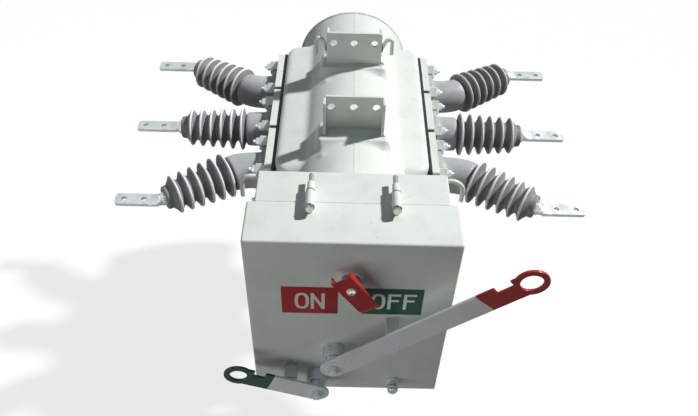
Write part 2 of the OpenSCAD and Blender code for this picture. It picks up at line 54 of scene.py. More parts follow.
# %% [markdown]
# ## The camera
# The photograph was taken from above, in front of the housing. Its camera was worked out from the corners of the
# housing: a pitch of about 45 degrees down, a slight roll, and a lens that is 717 pixels long on a picture 698
# pixels wide. A turn matrix made of those three angles gives the camera's own axes.

# %% Camera at the photograph's place
MM = 0.001
PICTURE_W, FOCAL_PX, SENSOR_MM = 698, 717.38, 36.0
PITCH, YAW, ROLL = 0.789, -0.020, 0.039


def mm(*values):
    """A point or size given in millimetres, as metres."""
    return np.array(values, float) * MM


def turn(axis, angle):
    """Rotation matrix about one of the axes 0, 1, 2 by the right-hand rule."""
    c, s = np.cos(angle), np.sin(angle)
    j, k = (axis + 1) % 3, (axis + 2) % 3
    matrix = np.eye(3)
    matrix[[j, k, j, k], [j, k, k, j]] = c, c, -s, s
    return matrix


def stand(name, data, axes, at):
    """An object at a place in the scene, whose own x, y and z point along the given axes."""
    holder = bpy.data.objects.new(name, data)
    matrix = np.eye(4)
    matrix[:3, :3], matrix[:3, 3] = np.column_stack(axes), at
    holder.matrix_world = matrix.T
    scene.collection.objects.link(holder)
    return holder


CAMERA_AT = mm(-27.8, -1274.3, 995.6)
level_view = np.array([[1, 0, 0], [0, 0, -1], [0, 1, 0]], float)
view = turn(2, ROLL) @ turn(0, PITCH) @ turn(1, YAW) @ level_view
camera = stand("camera", bpy.data.cameras.new("camera"), [view[0], -view[1], -view[2]], CAMERA_AT)
camera.data.sensor_width = SENSOR_MM
camera.data.lens = FOCAL_PX / PICTURE_W * SENSOR_MM
scene.camera = camera
print("camera looks along", np.round(view[2], 3), "with a lens of", round(camera.data.lens, 2), "mm")

# %% [markdown]
# ## Mesh helpers
# A surface here is a grid of points: rows along it and columns round it. One helper turns such a grid into a sheet of
# quads. The other two join sheets into a piece, give it its finish, and say which body it rides on and which solids
# it stands for.

# %% Grids into pieces
WELD_GAP, HAIR = 2e-6, 1e-6
finishes = {}


def sheet(grid):
    """Points of a grid, and the corner numbers of its quads; the last column joins the first."""
    rows, columns = grid.shape[:2]
    i, j = np.arange(rows - 1)[:, None] * columns, np.arange(columns)
    k = (j + 1) % columns
    quads = np.stack([i + j, i + k, i + columns + k, i + columns + j], -1)
    return grid.reshape(-1, 3), quads.reshape(-1, 4)


def dress(piece, finish, body=ROOT, stands_for=(), sharp=35):
    """Links a piece, gives it its finish, and ties it to its body and the nodes that it stands for.
    Edges that turn by more than sharp degrees stay sharp."""
    scene.collection.objects.link(piece)
    piece.data.materials.clear()
    piece.data.materials.append(finishes[finish])
    piece.data.shade_smooth()
    piece.data.set_sharp_from_angle(angle=np.radians(sharp))
    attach(piece, body)
    if stands_for:
        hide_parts(*stands_for)


def add_piece(name, sheets, finish="housing_paint", body=ROOT, stands_for=(), weld=True, sharp=35):
    """One dressed object from (points, faces) sheets, each numbered on from the points of the sheets before it;
    weld merges the points that fall together."""
    shifts = np.cumsum([0] + [len(points) for points, faces in sheets])
    numbered = sum(((faces + shift).tolist() for (points, faces), shift in zip(sheets, shifts)), [])
    mesh = bpy.data.meshes.new(name)
    mesh.from_pydata(np.concatenate([points for points, faces in sheets]).tolist(), [], numbered)
    tidy = bmesh.new()
    tidy.from_mesh(mesh)
    if weld:
        bmesh.ops.remove_doubles(tidy, verts=tidy.verts, dist=WELD_GAP)
        bmesh.ops.dissolve_degenerate(tidy, edges=tidy.edges, dist=HAIR)
    bmesh.ops.recalc_face_normals(tidy, faces=tidy.faces)
    tidy.to_mesh(mesh)
    tidy.free()
    dress(bpy.data.objects.new(name, mesh), finish, body, stands_for, sharp)


print("a grid of 3 rows and 4 columns has", len(sheet(np.zeros((3, 4, 3)))[1]), "quads")

# %% [markdown]
# Many solids only need soft edges. A bevel rounds them, but then smooth shading would also bend the light on the flat
# faces. A small geometry node group puts that right after the bevel: it reads the angle at every edge and draws the
# wide ones sharp.


# %% Edge group
def fill(tree, node, inputs):
    """Sets the inputs of a node: each value is a plain one, or a socket to link from."""
    for key, value in inputs.items():
        if isinstance(value, bpy.types.NodeSocket):
            tree.links.new(value, node.inputs[key])
        else:
            node.inputs[key].default_value = value


def place(tree, kind, inputs=(), **settings):
    """A new node with its settings and its inputs."""
    node = tree.nodes.new(kind)
    for key, value in settings.items():
        setattr(node, key, value)
    fill(tree, node, dict(inputs))
    return node


def angle_group(degrees):
    """Geometry nodes that draw an edge sharp where its two faces turn by more than the angle."""
    group = bpy.data.node_groups.new("sharp by angle", "GeometryNodeTree")
    for way in ("INPUT", "OUTPUT"):
        group.interface.new_socket("Mesh", in_out=way, socket_type="NodeSocketGeometry")
    given = place(group, "NodeGroupInput")
    angle = place(group, "GeometryNodeInputMeshEdgeAngle")
    wide = place(group, "FunctionNodeCompare", {0: angle.outputs["Unsigned Angle"], 1: np.radians(degrees)},
                 operation="GREATER_THAN")
    shade = place(group, "GeometryNodeSetShadeSmooth",
                  {0: given.outputs["Mesh"], "Selection": wide.outputs[0], "Shade Smooth": False}, domain="EDGE")
    place(group, "NodeGroupOutput", {"Mesh": shade.outputs[0]})
    return group


sharp_by_angle = angle_group(20)
print("the edge group has", len(sharp_by_angle.nodes), "nodes")

# %% Softened copies
BEVEL_FROM = np.radians(40)


def merged_copy(node):
    """A copy of a solid's mesh in which neighbouring faces share their points."""
    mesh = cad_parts[node].data.copy()
    tidy = bmesh.new()
    tidy.from_mesh(mesh)
    bmesh.ops.remove_doubles(tidy, verts=tidy.verts, dist=HAIR)
    tidy.to_mesh(mesh)
    tidy.free()
    return mesh


def softened(node, width, finish="housing_paint", body=ROOT, segments=2):
    """A merged copy of a solid with its edges rounded by a bevel, which stands for that node."""
    piece = bpy.data.objects.new(node + "_finished", merged_copy(node))
    dress(piece, finish, body, [node])
    bevel = piece.modifiers.new("soft edges", "BEVEL")
    bevel.width, bevel.segments = width, segments
    bevel.limit_method, bevel.angle_limit = "ANGLE", BEVEL_FROM
    bevel.use_clamp_overlap = True
    piece.modifiers.new("flat faces stay flat", "NODES").node_group = sharp_by_angle


print("edges are rounded from", round(np.degrees(BEVEL_FROM)), "degrees on")

# %% [markdown]
# ## Three ways to make a surface
# Nearly all of the switch is turned, bent or pressed. A turned part is a radius that changes along an axis. A bent
# bar or a moulded bushing is a radius carried along a path. A pressed sheet box is a smaller box rolled over by a
# ball, which rounds all of its edges at once.

# %% Turned surfaces
ASIDE = (0.31, 0.52, 0.79)


def unit(vector):
    """The vector divided by its length, also for an array of vectors."""
    vector = np.asarray(vector, float)
    return vector / np.linalg.norm(vector, axis=-1, keepdims=True)


def full_turn(count):
    """Evenly spaced angles round a whole circle."""
    return np.linspace(0, 2 * np.pi, count, endpoint=False)


def turned(profile, at, way, flats=None, around=48, thread=None):
    """Radius r at height s about an axis: at + s way + r (cos t, sin t). flats caps r by a hexagon of that size, and
    thread = (pitch, depth) cuts a rounded groove that climbs one pitch in each turn where r isn't zero."""
    s, r = np.asarray(profile, float).T
    way = unit(way)
    side = unit(np.cross(way, ASIDE))
    other = np.cross(way, side)
    t = full_turn(around)
    radius = np.repeat(r[:, None], around, 1)
    if thread is not None:
        pitch, depth = thread
        groove = 0.5 - 0.5 * np.cos(2 * np.pi * (s[:, None] / pitch + t / (2 * np.pi)))
        radius = np.where(radius > 0, radius - depth * groove, 0)
    if flats:
        radius = np.minimum(radius, flats / 2 / np.cos((t + np.pi / 6) % (np.pi / 3) - np.pi / 6))
    ring = np.cos(t)[:, None] * side + np.sin(t)[:, None] * other
    return sheet(np.asarray(at, float) + s[:, None, None] * way + radius[:, :, None] * ring)


print("a turned disc has", len(turned([(0, 0), (0, 1), (1, 1), (1, 0)], (0, 0, 0), (0, 0, 1))[0]), "points")


# %% Carried and rolled surfaces
def closed_grid(points, first, last):
    """A grid of points with one more row at each end, in which all columns meet in one point."""
    ends = [np.broadcast_to(p, (1, points.shape[1], 3)) for p in (first, last)]
    return sheet(np.concatenate([ends[0], points, ends[1]]))


def carried(path, radius, around, up):
    """A circle of changing radius on a path: path(s) + r(s) (cos t side + sin t rise), ends closed to a point."""
    along = unit(np.gradient(path, axis=0))
    side = unit(np.cross(along, up))
    rise = np.cross(side, along)
    t = full_turn(around)[None, :, None]
    ring = np.cos(t) * side[:, None] + np.sin(t) * rise[:, None]
    return closed_grid(path[:, None] + radius[:, None, None] * ring, path[0], path[-1])


def rolled_box(low, high, r, steps=6):
    """A box shrunk by r and rolled over by a ball of radius r: sign (half - r) + r n, for the ball's normals n."""
    low, high = np.asarray(low, float), np.asarray(high, float)
    half, middle = (high - low) / 2, (high + low) / 2
    quarter = np.linspace(0, np.pi / 2, steps)
    v = np.concatenate([quarter + k * np.pi / 2 for k in range(4)])
    u = np.concatenate([quarter - np.pi / 2, quarter])[:, None]
    east, north = np.repeat([1, -1, -1, 1], steps), np.repeat([1, 1, -1, -1], steps)
    rise = np.repeat([-1, 1], steps)[:, None]
    normal = np.stack(np.broadcast_arrays(np.cos(u) * np.cos(v), np.cos(u) * np.sin(v), np.sin(u)), -1)
    corner = np.stack(np.broadcast_arrays(east, north, rise), -1)
    pole = [0, 0, half[2]]
    return closed_grid(middle + corner * (half - r) + r * normal, middle - pole, middle + pole)


def cut_corners(line, rounds=2):
    """Chaikin's rule: each step replaces a corner by points at a quarter and three quarters of its sides."""
    line = np.asarray(line, float)
    for step in range(rounds):
        first, second = line[:-1], line[1:]
        inner = np.stack([0.75 * first + 0.25 * second, 0.25 * first + 0.75 * second], 1)
        line = np.concatenate([line[:1], inner.reshape(-1, line.shape[1]), line[-1:]])
    return line


def box_of(node):
    """Low and high corner of a solid, as the two rows of an array."""
    return np.array(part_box(node))


print("a corner cut twice has", len(cut_corners([(0, 0), (1, 0), (1, 1)])), "points")

# %% [markdown]
# ## Shared effects for the finishes
# Real paint is never one flat colour: it carries dust, small dark specks, a slow change of tone and the fine ripple
# that painters call orange peel. Rubber is mottled by its mould, and plated steel is clouded and finely scratched.
# Pictures could show all this, but noise in three dimensions needs no unwrapping and has no seams. Each effect is a
# node group with named sockets, built once and placed in every material that needs it.

# %% Node group helpers
EFFECT_OUTPUTS = (("Color", "Color"), ("Roughness", "Float"), ("Height", "Float"))


def linear(r, g, b):
    """A screen colour, 0 to 255, as the linear colour that the shader wants."""
    c = np.array([r, g, b]) / 255
    return (*np.where(c <= 0.04045, c / 12.92, ((c + 0.055) / 1.055) ** 2.4).tolist(), 1.0)


def new_group(name, inputs):
    """A node group whose inputs are (name, type, default), with its input sockets, output node and coordinate."""
    group = bpy.data.node_groups.new(name, "ShaderNodeTree")
    for title, kind, default in inputs:
        socket = group.interface.new_socket(title, in_out="INPUT", socket_type="NodeSocket" + kind)
        socket.default_value = default
    for title, kind in EFFECT_OUTPUTS:
        group.interface.new_socket(title, in_out="OUTPUT", socket_type="NodeSocket" + kind)
    given, put = place(group, "NodeGroupInput").outputs, place(group, "NodeGroupOutput")
    return group, given, put, place(group, "ShaderNodeTexCoord").outputs["Object"]


def noise(tree, where, scale, detail, stretch=None, roughness=0.6):
    """Noise on a coordinate, which a Mapping node may stretch first; returns its 0 to 1 value."""
    if stretch:
        where = place(tree, "ShaderNodeMapping", {"Scale": stretch, "Vector": where}).outputs[0]
    inputs = {"Scale": scale, "Detail": detail, "Roughness": roughness, "Vector": where}
    return place(tree, "ShaderNodeTexNoise", inputs).outputs["Fac"]


def ramp(tree, value, low, high, bottom=0.0, top=1.0):
    """Maps low..high of a value onto bottom..top, with the ends held."""
    inputs = {"Value": value, "From Min": low, "From Max": high, "To Min": bottom, "To Max": top}
    return place(tree, "ShaderNodeMapRange", inputs, clamp=True).outputs[0]


def blend(tree, factor, first, second):
    """Mixes two colours, each a socket or a plain colour, by a factor."""
    return place(tree, "ShaderNodeMix", {0: factor, 6: first, 7: second}, data_type="RGBA").outputs[2]


def maths(tree, operation, first, second):
    """One arithmetic step between two values, each a socket or a number."""
    return place(tree, "ShaderNodeMath", {0: first, 1: second}, operation=operation).outputs[0]


def times(tree, first, second):
    """The product of two values."""
    return maths(tree, "MULTIPLY", first, second)


def plus(tree, first, second):
    """The sum of two values."""
    return maths(tree, "ADD", first, second)


print("half grey on the screen is", round(linear(128, 128, 128)[0], 3), "in linear light")

# %% [markdown]
# The paint group takes a paint colour and a dust colour. Slow noise shifts the tone, finer noise lays dust, and the
# cores of a fine cell pattern become dark specks. Dust is duller than paint, so it also raises the roughness.

# %% Weathered paint group
SPECK = linear(84, 82, 74)
paint_group, given, put, where = new_group("weathered paint", [
    ("Paint", "Color", linear(225, 231, 224)), ("Dust", "Color", linear(190, 188, 176)),
    ("Dust Amount", "Float", 0.35), ("Speck Amount", "Float", 0.6), ("Gloss Roughness", "Float", 0.3)])
tree = paint_group
tone = ramp(tree, noise(tree, where, 5.0, 3.0), 0.3, 0.7, 0.0, 0.14)
cloud = ramp(tree, noise(tree, where, 17.0, 6.0), 0.48, 0.78)
cells = place(tree, "ShaderNodeTexVoronoi", {"Scale": 58.0, "Vector": where})
dot = ramp(tree, cells.outputs["Distance"], 0.05, 0.09, 1.0, 0.0)
rare = ramp(tree, noise(tree, where, 11.0, 2.0), 0.55, 0.62)
speck = times(tree, times(tree, dot, rare), given["Speck Amount"])
toned = blend(tree, tone, given["Paint"], given["Dust"])
dusted = blend(tree, times(tree, cloud, given["Dust Amount"]), toned, given["Dust"])
dull = plus(tree, times(tree, cloud, 0.22), times(tree, speck, 0.3))
peel, dent = noise(tree, where, 420.0, 2.0), noise(tree, where, 9.0, 1.0)
fill(tree, put, {"Color": blend(tree, speck, dusted, SPECK),
                 "Roughness": plus(tree, given["Gloss Roughness"], dull),
                 "Height": plus(tree, times(tree, peel, 0.12), times(tree, dent, 1.2))})
print("paint group has", len(tree.nodes), "nodes")

# %% [markdown]
# Rubber and metal share one more group: a ground colour, a second colour in clouds and a third in fine streaks. On
# silicone rubber the clouds are mould marks and chalk, and on plated steel they are the crystals of the zinc.

# %% Mottled surface group
mottle_group, given, put, where = new_group("mottled surface", [
    ("Ground", "Color", linear(130, 128, 128)), ("Cloud", "Color", linear(150, 148, 146)),
    ("Streak", "Color", linear(90, 88, 88)), ("Cloud Scale", "Float", 30.0), ("Streak Amount", "Float", 0.3),
    ("Base Roughness", "Float", 0.5)])
tree = mottle_group
cloud = ramp(tree, noise(tree, where, given["Cloud Scale"], 6.0, roughness=0.65), 0.38, 0.68)
streak = ramp(tree, noise(tree, where, 60.0, 5.0, (1.0, 0.25, 2.2)), 0.55, 0.75)
clouded = blend(tree, cloud, given["Ground"], given["Cloud"])
uneven = times(tree, maths(tree, "SUBTRACT", cloud, 0.5), 0.16)
fine = noise(tree, where, 900.0, 2.0)
fill(tree, put, {"Color": blend(tree, times(tree, streak, given["Streak Amount"]), clouded, given["Streak"]),
                 "Roughness": plus(tree, given["Base Roughness"], uneven),
                 "Height": plus(tree, times(tree, fine, 0.25), times(tree, cloud, 0.4))})
print("mottle group has", len(tree.nodes), "nodes")

# %% [markdown]
# ## The finishes
# The housing has a pale grey stove enamel, the labels a red, a green and a white one. All are the same paint with
# other colours, so a table lists them, and one helper makes a material of each row: the group's colour, roughness
# and height go into one shader, the height by way of a bump.

# %% Paints
BUMP_DEPTH, COAT_ROUGHNESS = 1 * MM, 0.12
GREY, DUST, LEVER_GREY = (222, 228, 221), (188, 188, 176), (236, 242, 242)
RED, RED_DUST, GREEN, GREEN_DUST = (172, 33, 31), (150, 60, 56), (28, 80, 57), (62, 104, 84)
PAINT_INPUTS = ("Paint", "Dust", "Dust Amount", "Speck Amount", "Gloss Roughness")
# Paint and dust colour, amounts of dust and specks, roughness, bump and clear coat
PAINTS = {
    "housing_paint": (GREY, DUST, 0.35, 0.6, 0.3, 0.35, 0.08),
    "label_red": (RED, RED_DUST, 0.4, 0.3, 0.35, 0.2, 0.0),
    "label_green": (GREEN, GREEN_DUST, 0.4, 0.3, 0.35, 0.2, 0.0),
    "letter_white": ((232, 232, 226), (196, 192, 182), 0.35, 0.2, 0.4, 0.1, 0.0)}


def new_finish(name, group, values, bump, metallic=0.0, coat=0.0, specular=0.3):
    """A material with one shader, fed by a group's colour, roughness and bump height."""
    material = bpy.data.materials.new(name)
    material.use_nodes = True
    tree = material.node_tree
    effect = place(tree, "ShaderNodeGroup", values, node_tree=group).outputs
    bumped = place(tree, "ShaderNodeBump", {"Strength": bump, "Distance": BUMP_DEPTH, "Height": effect["Height"]})
    fill(tree, tree.nodes["Principled BSDF"], {
        "Base Color": effect["Color"], "Roughness": effect["Roughness"], "Normal": bumped.outputs[0],
        "Metallic": metallic, "Coat Weight": coat, "Coat Roughness": COAT_ROUGHNESS,
        "Specular IOR Level": specular})
    finishes[name] = material
    return tree


for name, (colour, dust_colour, *amounts, bump, coat) in PAINTS.items():
    values = dict(zip(PAINT_INPUTS, (linear(*colour), linear(*dust_colour), *amounts)))
    new_finish(name, paint_group, values, bump, coat=coat)
print("paints:", list(finishes))

# %% [markdown]
# The rest is rubber and metal. The bushings are grey silicone; their sheds are a darker copy of it, painted shade,
# and a near-white band on each rim is a painted highlight. The seals are black. Bolts and shafts are zinc plated,
# some in a darker zinc, and the terminals are tinned. The plain shader has no rubber or zinc, so each is a row of
# colours and numbers for the mottled group.

# %% Rubber and metal
MOTTLE_INPUTS = ("Ground", "Cloud", "Streak", "Cloud Scale", "Streak Amount", "Base Roughness")
# Ground, cloud and streak colour, scale of the clouds, amount of streaks, roughness, bump, metallic and specular
MOTTLES = {
    "bushing_rubber": ((166, 169, 172), (182, 185, 187), (200, 202, 202), 26.0, 0.25, 0.44, 0.25, 0.0, 0.3),
    # A darker copy of the rubber for the sheds: painted shade.
    "shed_rubber_painted_shade": ((127, 130, 131), (146, 149, 149), (168, 170, 169), 26.0, 0.3, 0.5, 0.25, 0.0, 0.3),
    # A near-white rubber for the shed rims: a painted highlight.
    "rim_highlight_rubber": ((224, 225, 222), (234, 235, 232), (186, 188, 187), 60.0, 0.4, 0.7, 0.3, 0.0, 0.3),
    "seal_rubber": ((34, 34, 34), (52, 51, 50), (76, 74, 72), 30.0, 0.3, 0.5, 0.4, 0.0, 0.3),
    "zinc_plate": ((204, 212, 219), (220, 226, 230), (160, 165, 168), 70.0, 0.3, 0.34, 0.15, 0.5, 0.5),
    # A pale, nearly matt zinc for bolt faces and the screw head: a painted highlight.
    "glint_zinc": ((236, 234, 224), (244, 243, 236), (206, 204, 196), 90.0, 0.3, 0.3, 0.15, 0.25, 0.5),
    # A darker zinc for the draw bolts.
    "darker_zinc": ((140, 144, 146), (168, 172, 174), (104, 104, 100), 90.0, 0.5, 0.36, 0.2, 0.9, 0.5),
    "tinned_metal": ((230, 235, 236), (234, 238, 239), (180, 186, 188), 34.0, 0.35, 0.42, 0.12, 1.0, 0.5),
    "burnt_weld": ((74, 72, 68), (112, 108, 100), (52, 48, 44), 120.0, 0.5, 0.7, 0.5, 0.0, 0.3)}
for name, (*colours, scale, streaks, roughness, bump, metallic, specular) in MOTTLES.items():
    values = dict(zip(MOTTLE_INPUTS, (*(linear(*c) for c in colours), scale, streaks, roughness)))
    new_finish(name, mottle_group, values, bump, metallic, specular=specular)
print("rubber and metal:", list(MOTTLES))

# %% [markdown]
# ## The welded tank
# The tank is a rolled barrel with two pressed side chambers welded along it, closed at the back by a dished end. It
# could be cut from joined solids, but then the welds would be knife edges. Here the section is one radius for each
# angle and each place along the barrel: the larger of barrel and chamber, melted together over a weld's width.

# %% Barrel and chambers
(shell_low, shell_high), (dish_low, dish_high) = box_of("tank_shell"), box_of("tank_rear_end")
BARREL_R, AXIS_Z = (dish_high[0] - dish_low[0]) / 2, (dish_high[2] + dish_low[2]) / 2
TANK_FRONT, TANK_REAR, DISH_TIP = shell_low[1], shell_high[1], dish_high[1]
CHAMBER_SIDE = shell_high[0]
BUSHING_MID, BUSHING_PITCH, CHAMBER_HALF, CHAMBER_CORNER = mm(167, 158, 258, 46)
SHOULDER, SHOULDER_R, ROOF_END_R, SEAM_MELT = mm(70, 22, 28, 7)
ROOF_SLOPE = np.radians(9)
NEVER_ZERO = 1e-3


def melt(first, second, width):
    """The larger of two fields, rounded where they come within one width of each other; the smaller of the two
    when the width is negative."""
    reach = np.maximum(abs(width) - np.abs(first - second), 0) / abs(width)
    return np.where(width > 0, np.maximum(first, second), np.minimum(first, second)) + reach ** 2 * width / 4


def rounded_fall(distance, reach, r):
    """How far a wall falls back near the end of its reach, when its end is rounded by r."""
    t = np.clip(distance - (reach - r), 0, r)
    return r - np.sqrt(r * r - t * t)


def tank_radius(angle, y):
    """Barrel radius, or the chamber's: its side is x = side, and its roof slopes down from the middle."""
    c, s = np.abs(np.cos(angle)), np.abs(np.sin(angle))
    away = np.abs(y - BUSHING_MID)
    side = CHAMBER_SIDE - rounded_fall(away, CHAMBER_HALF, CHAMBER_CORNER)
    roof = (CHAMBER_SIDE - SHOULDER_R) * np.sin(ROOF_SLOPE) + SHOULDER * np.cos(ROOF_SLOPE) + SHOULDER_R
    roof = roof - rounded_fall(away, CHAMBER_HALF, ROOF_END_R)
    to_side = side / np.maximum(c, NEVER_ZERO)
    to_roof = roof / (c * np.sin(ROOF_SLOPE) + s * np.cos(ROOF_SLOPE))
    chamber = np.where(away <= CHAMBER_HALF, melt(to_side, to_roof, -0.8 * SHOULDER_R), 0)
    return melt(np.full_like(chamber, BARREL_R), chamber, SEAM_MELT)


print("barrel radius", round(BARREL_R, 4), "and chamber side", round(CHAMBER_SIDE, 4))

# %% [markdown]
# Under each hanger the sheet is raised into a flat pad, with two small swells at each front corner that look pressed.
# Both are more radius for the same angles, so they melt into the skin before any point is made. The dished end is
# part of a ball and closes the grid at the back.

# %% Pads and pressed corners
PAD_MIDDLES, PAD_FALL, PAD_SIDE_FALL = mm(-15, 265), 1.15, 0.35
PAD_HALF_W, PAD_FLAT, PAD_RISE, PAD_ROUND, PAD_MELT = mm(82, 30, 1.5, 24, 12)
SWELL_X, SWELL_Y, SWELL_RISE, SWELL_W = mm(78, 68), mm(-26, -63), *mm(2.2, 5.5)
UPPER_SIDE = 0.5


def pad_radius(angle, y):
    """A flat pad under each hanger: its top is level z = crest + rise, and falls off beyond the flat part."""
    past = np.maximum(np.min(np.abs(y - PAD_MIDDLES[:, None, None]), 0) - PAD_FLAT, 0)
    to_top = (BARREL_R + PAD_RISE - PAD_FALL * past) / np.maximum(np.sin(angle), NEVER_ZERO)
    to_side = (PAD_HALF_W - PAD_SIDE_FALL * past) / np.maximum(np.abs(np.cos(angle)), NEVER_ZERO)
    return np.where(np.sin(angle) > UPPER_SIDE, melt(to_top, to_side, -PAD_ROUND), 0)


def pressed_corners(angle, y):
    """Two small swells at each front corner of a pad: height exp(-(dx^2 + dy^2) / 2 w^2)."""
    x = BARREL_R * np.abs(np.cos(angle))[..., None, None]
    from_pad = y[..., None, None] - PAD_MIDDLES[:, None]
    away = (x - SWELL_X) ** 2 + (from_pad - SWELL_Y) ** 2
    swells = np.sum(SWELL_RISE * np.exp(-away / (2 * SWELL_W ** 2)), (-2, -1))
    return swells * (np.sin(angle) > UPPER_SIDE)


print("pads at y =", PAD_MIDDLES, "with swells of", SWELL_RISE)

# %% The whole skin
TANK_COLUMNS, END_ROWS, CHAMBER_ROWS, DISH_ROWS, CROWDING, ROW_GAP = 288, 10, 240, 24, 0.35, 0.4 * MM
u = np.linspace(-1, 1, CHAMBER_ROWS)
y = np.concatenate([
    np.linspace(TANK_FRONT, BUSHING_MID - CHAMBER_HALF - ROW_GAP, END_ROWS),
    BUSHING_MID + CHAMBER_HALF * ((1 + CROWDING) * u - CROWDING * u ** 3),
    np.linspace(BUSHING_MID + CHAMBER_HALF + ROW_GAP, TANK_REAR, END_ROWS)])[:, None]
angles = full_turn(TANK_COLUMNS)[None, :]
radius = melt(tank_radius(angles, y), pad_radius(angles, y), PAD_MELT) + pressed_corners(angles, y)
dish = DISH_TIP - TANK_REAR
DISH_R = (BARREL_R ** 2 + dish ** 2) / (2 * dish)
lean = np.linspace(np.arcsin(BARREL_R / DISH_R), 0, DISH_ROWS)[1:, None]
radius = np.concatenate([0 * angles, radius, DISH_R * np.sin(lean) + 0 * angles])
y = np.concatenate([[[TANK_FRONT]], y, DISH_TIP - DISH_R * (1 - np.cos(lean))])
points = np.stack([radius * np.cos(angles), y + 0 * angles, AXIS_Z + radius * np.sin(angles)], -1)
add_piece("tank_skin", [sheet(points)],
          stands_for=["tank_shell", "tank_front_end", "tank_rear_end", "hanger_pads"])
print("tank skin:", radius.shape, "grid, crest at", round(AXIS_Z + BARREL_R, 4))

# %% [markdown]
# ## Weld seams
# A weld is a row of small overlapping ripples. Carrying a circle along the seam, with a radius that swells at every
# ripple, gives the bead its scales; half of it is sunk in the metal. The seam along the crest looks almost
# flat in the photograph, so its bead is wide, sunk deep and hardly rippled.

# %% Beads on the tank
RING_BEAD, CREST_BEAD, CREST_SUNK, CREST_X = mm(7, 15, 6.7, 4)
RING_POINTS, SEAM_POINTS = 900, 650
BEAD_UP = unit([0.02, 0.3, 1.0])


def way_along(path):
    """Distance of each point of a path from its start, measured along the path."""
    return np.concatenate([[0], np.cumsum(np.linalg.norm(np.diff(path, axis=0), axis=1))])


def weld_bead(path, width, ripple=4.2 * MM, swell=0.14):
    """A round bead carried along a path: r = width/2 (1 + swell cos(2 pi s / ripple)), s being the way along it."""
    r = width / 2 * (1 + swell * np.cos(2 * np.pi * way_along(path) / ripple))
    return carried(path, r, around=10, up=BEAD_UP)


def barrel_ring(y, r):
    """Points round the barrel at one place along it."""
    a = np.linspace(0, 2 * np.pi, RING_POINTS)
    return np.stack([r * np.cos(a), np.full_like(a, y), AXIS_Z + r * np.sin(a)], -1)


seam_y = np.linspace(TANK_FRONT + 4 * MM, TANK_REAR - 2 * MM, SEAM_POINTS)
level = np.ones_like(seam_y)
crest = np.stack([CREST_X * level, seam_y, (AXIS_Z + BARREL_R - CREST_SUNK) * level], -1)
add_piece("tank_weld_seams", [
    weld_bead(crest, CREST_BEAD, ripple=5.5 * MM, swell=0.03),
    weld_bead(barrel_ring(TANK_REAR - 1 * MM, BARREL_R - 0.6 * MM), RING_BEAD),
    weld_bead(barrel_ring(TANK_FRONT + 2 * MM, BARREL_R + 0.4 * MM), RING_BEAD)], weld=False)
print("three weld seams on the barrel")

# %% [markdown]
# ## Pressed sheet housing
# The mechanism sits in a frame and a cover, both folded from sheet. Their edges are the bend radius of the sheet,
# about as large as its thickness, so each box is rolled over by a small ball.

# %% Frame and cover
for node, r in (("mechanism_cover", 5 * MM), ("mechanism_frame", 3.5 * MM)):
    add_piece(node + "_sheet", [rolled_box(*box_of(node), r)], stands_for=[node])
FACE_Y = box_of("mechanism_cover")[0, 1]
print("cover front at y =", round(FACE_Y, 4))

# %% [markdown]
# ## Plates, hangers and small solids
# These pieces already have their true outlines in the frame. What they lack is the small radius that every sawn,
# cast or painted edge has, because that is what catches the light. A bevel on a merged copy adds it.

# %% Softened solids
SIDES, PLACES = (("left", -1), ("right", 1)), (("front", -1), ("middle", 0), ("rear", 1))
BUSHINGS = [(f"{side}_{end}", s, p) for side, s in SIDES for end, p in PLACES]
HANGER_EDGE, PLATE_EDGE, CAST_EDGE, SLEEVE_EDGE, METAL_EDGE = mm(1.4, 2.2, 2.0, 1.0, 0.8)
for nodes, width, segments in (
        (("front_hanger", "rear_hanger"), HANGER_EDGE, 2),
        ([f"bushing_plate_{name}" for name, s, p in BUSHINGS], PLATE_EDGE, 3),
        (("bushing_clamps", "main_stop", "short_stop"), CAST_EDGE, 3),
        (("cover_sleeves", "frame_sleeves"), SLEEVE_EDGE, 2)):
    for node in nodes:
        softened(node, width, segments=segments)
for body, nodes in ((ROOT, ("main_bush", "short_bush", "indicator_bush", "earth_stud")),
                    ("main_lever_arm", ("main_shaft", "main_bolt")),
                    ("short_lever_arm", ("short_shaft", "short_bolt")),
                    ("indicator", ("indicator_shaft",))):
    for node in nodes:
        softened(node, METAL_EDGE, "zinc_plate", body=body)
softened("draw_bolts", METAL_EDGE, "darker_zinc")
softened("indicator_pointer", METAL_EDGE, "label_red", "indicator")

# %% [markdown]
# The hangers are channels: a plate with a flange on each side. In the photograph the flanges reach almost to the
# plate's top edge, a little higher than in the solids, so each gets a strip of the same sheet on top. A strip is a
# small rolled box.

# %% Tops of the hanger flanges
HANGER_T, STRIP_LOW, STRIP_HIGH, STRIP_IN = mm(6, 20, 2, 3)
HANGERS = (("front_hanger", 1), ("rear_hanger", 0))
strips = []
for node, plate_end in HANGERS:
    box = box_of(node)
    y_low, y_high = np.sort([box[plate_end, 1] + (1 - 2 * plate_end) * STRIP_IN, box[1 - plate_end, 1]])
    for x in (box[0, 0], box[1, 0] - HANGER_T):
        strips.append(rolled_box((x, y_low, box[1, 2] - STRIP_LOW), (x + HANGER_T, y_high, box[1, 2] - STRIP_HIGH),
                                 HANGER_EDGE, steps=4))
add_piece("flange_tops", strips, weld=False)
print("flange tops:", len(strips))
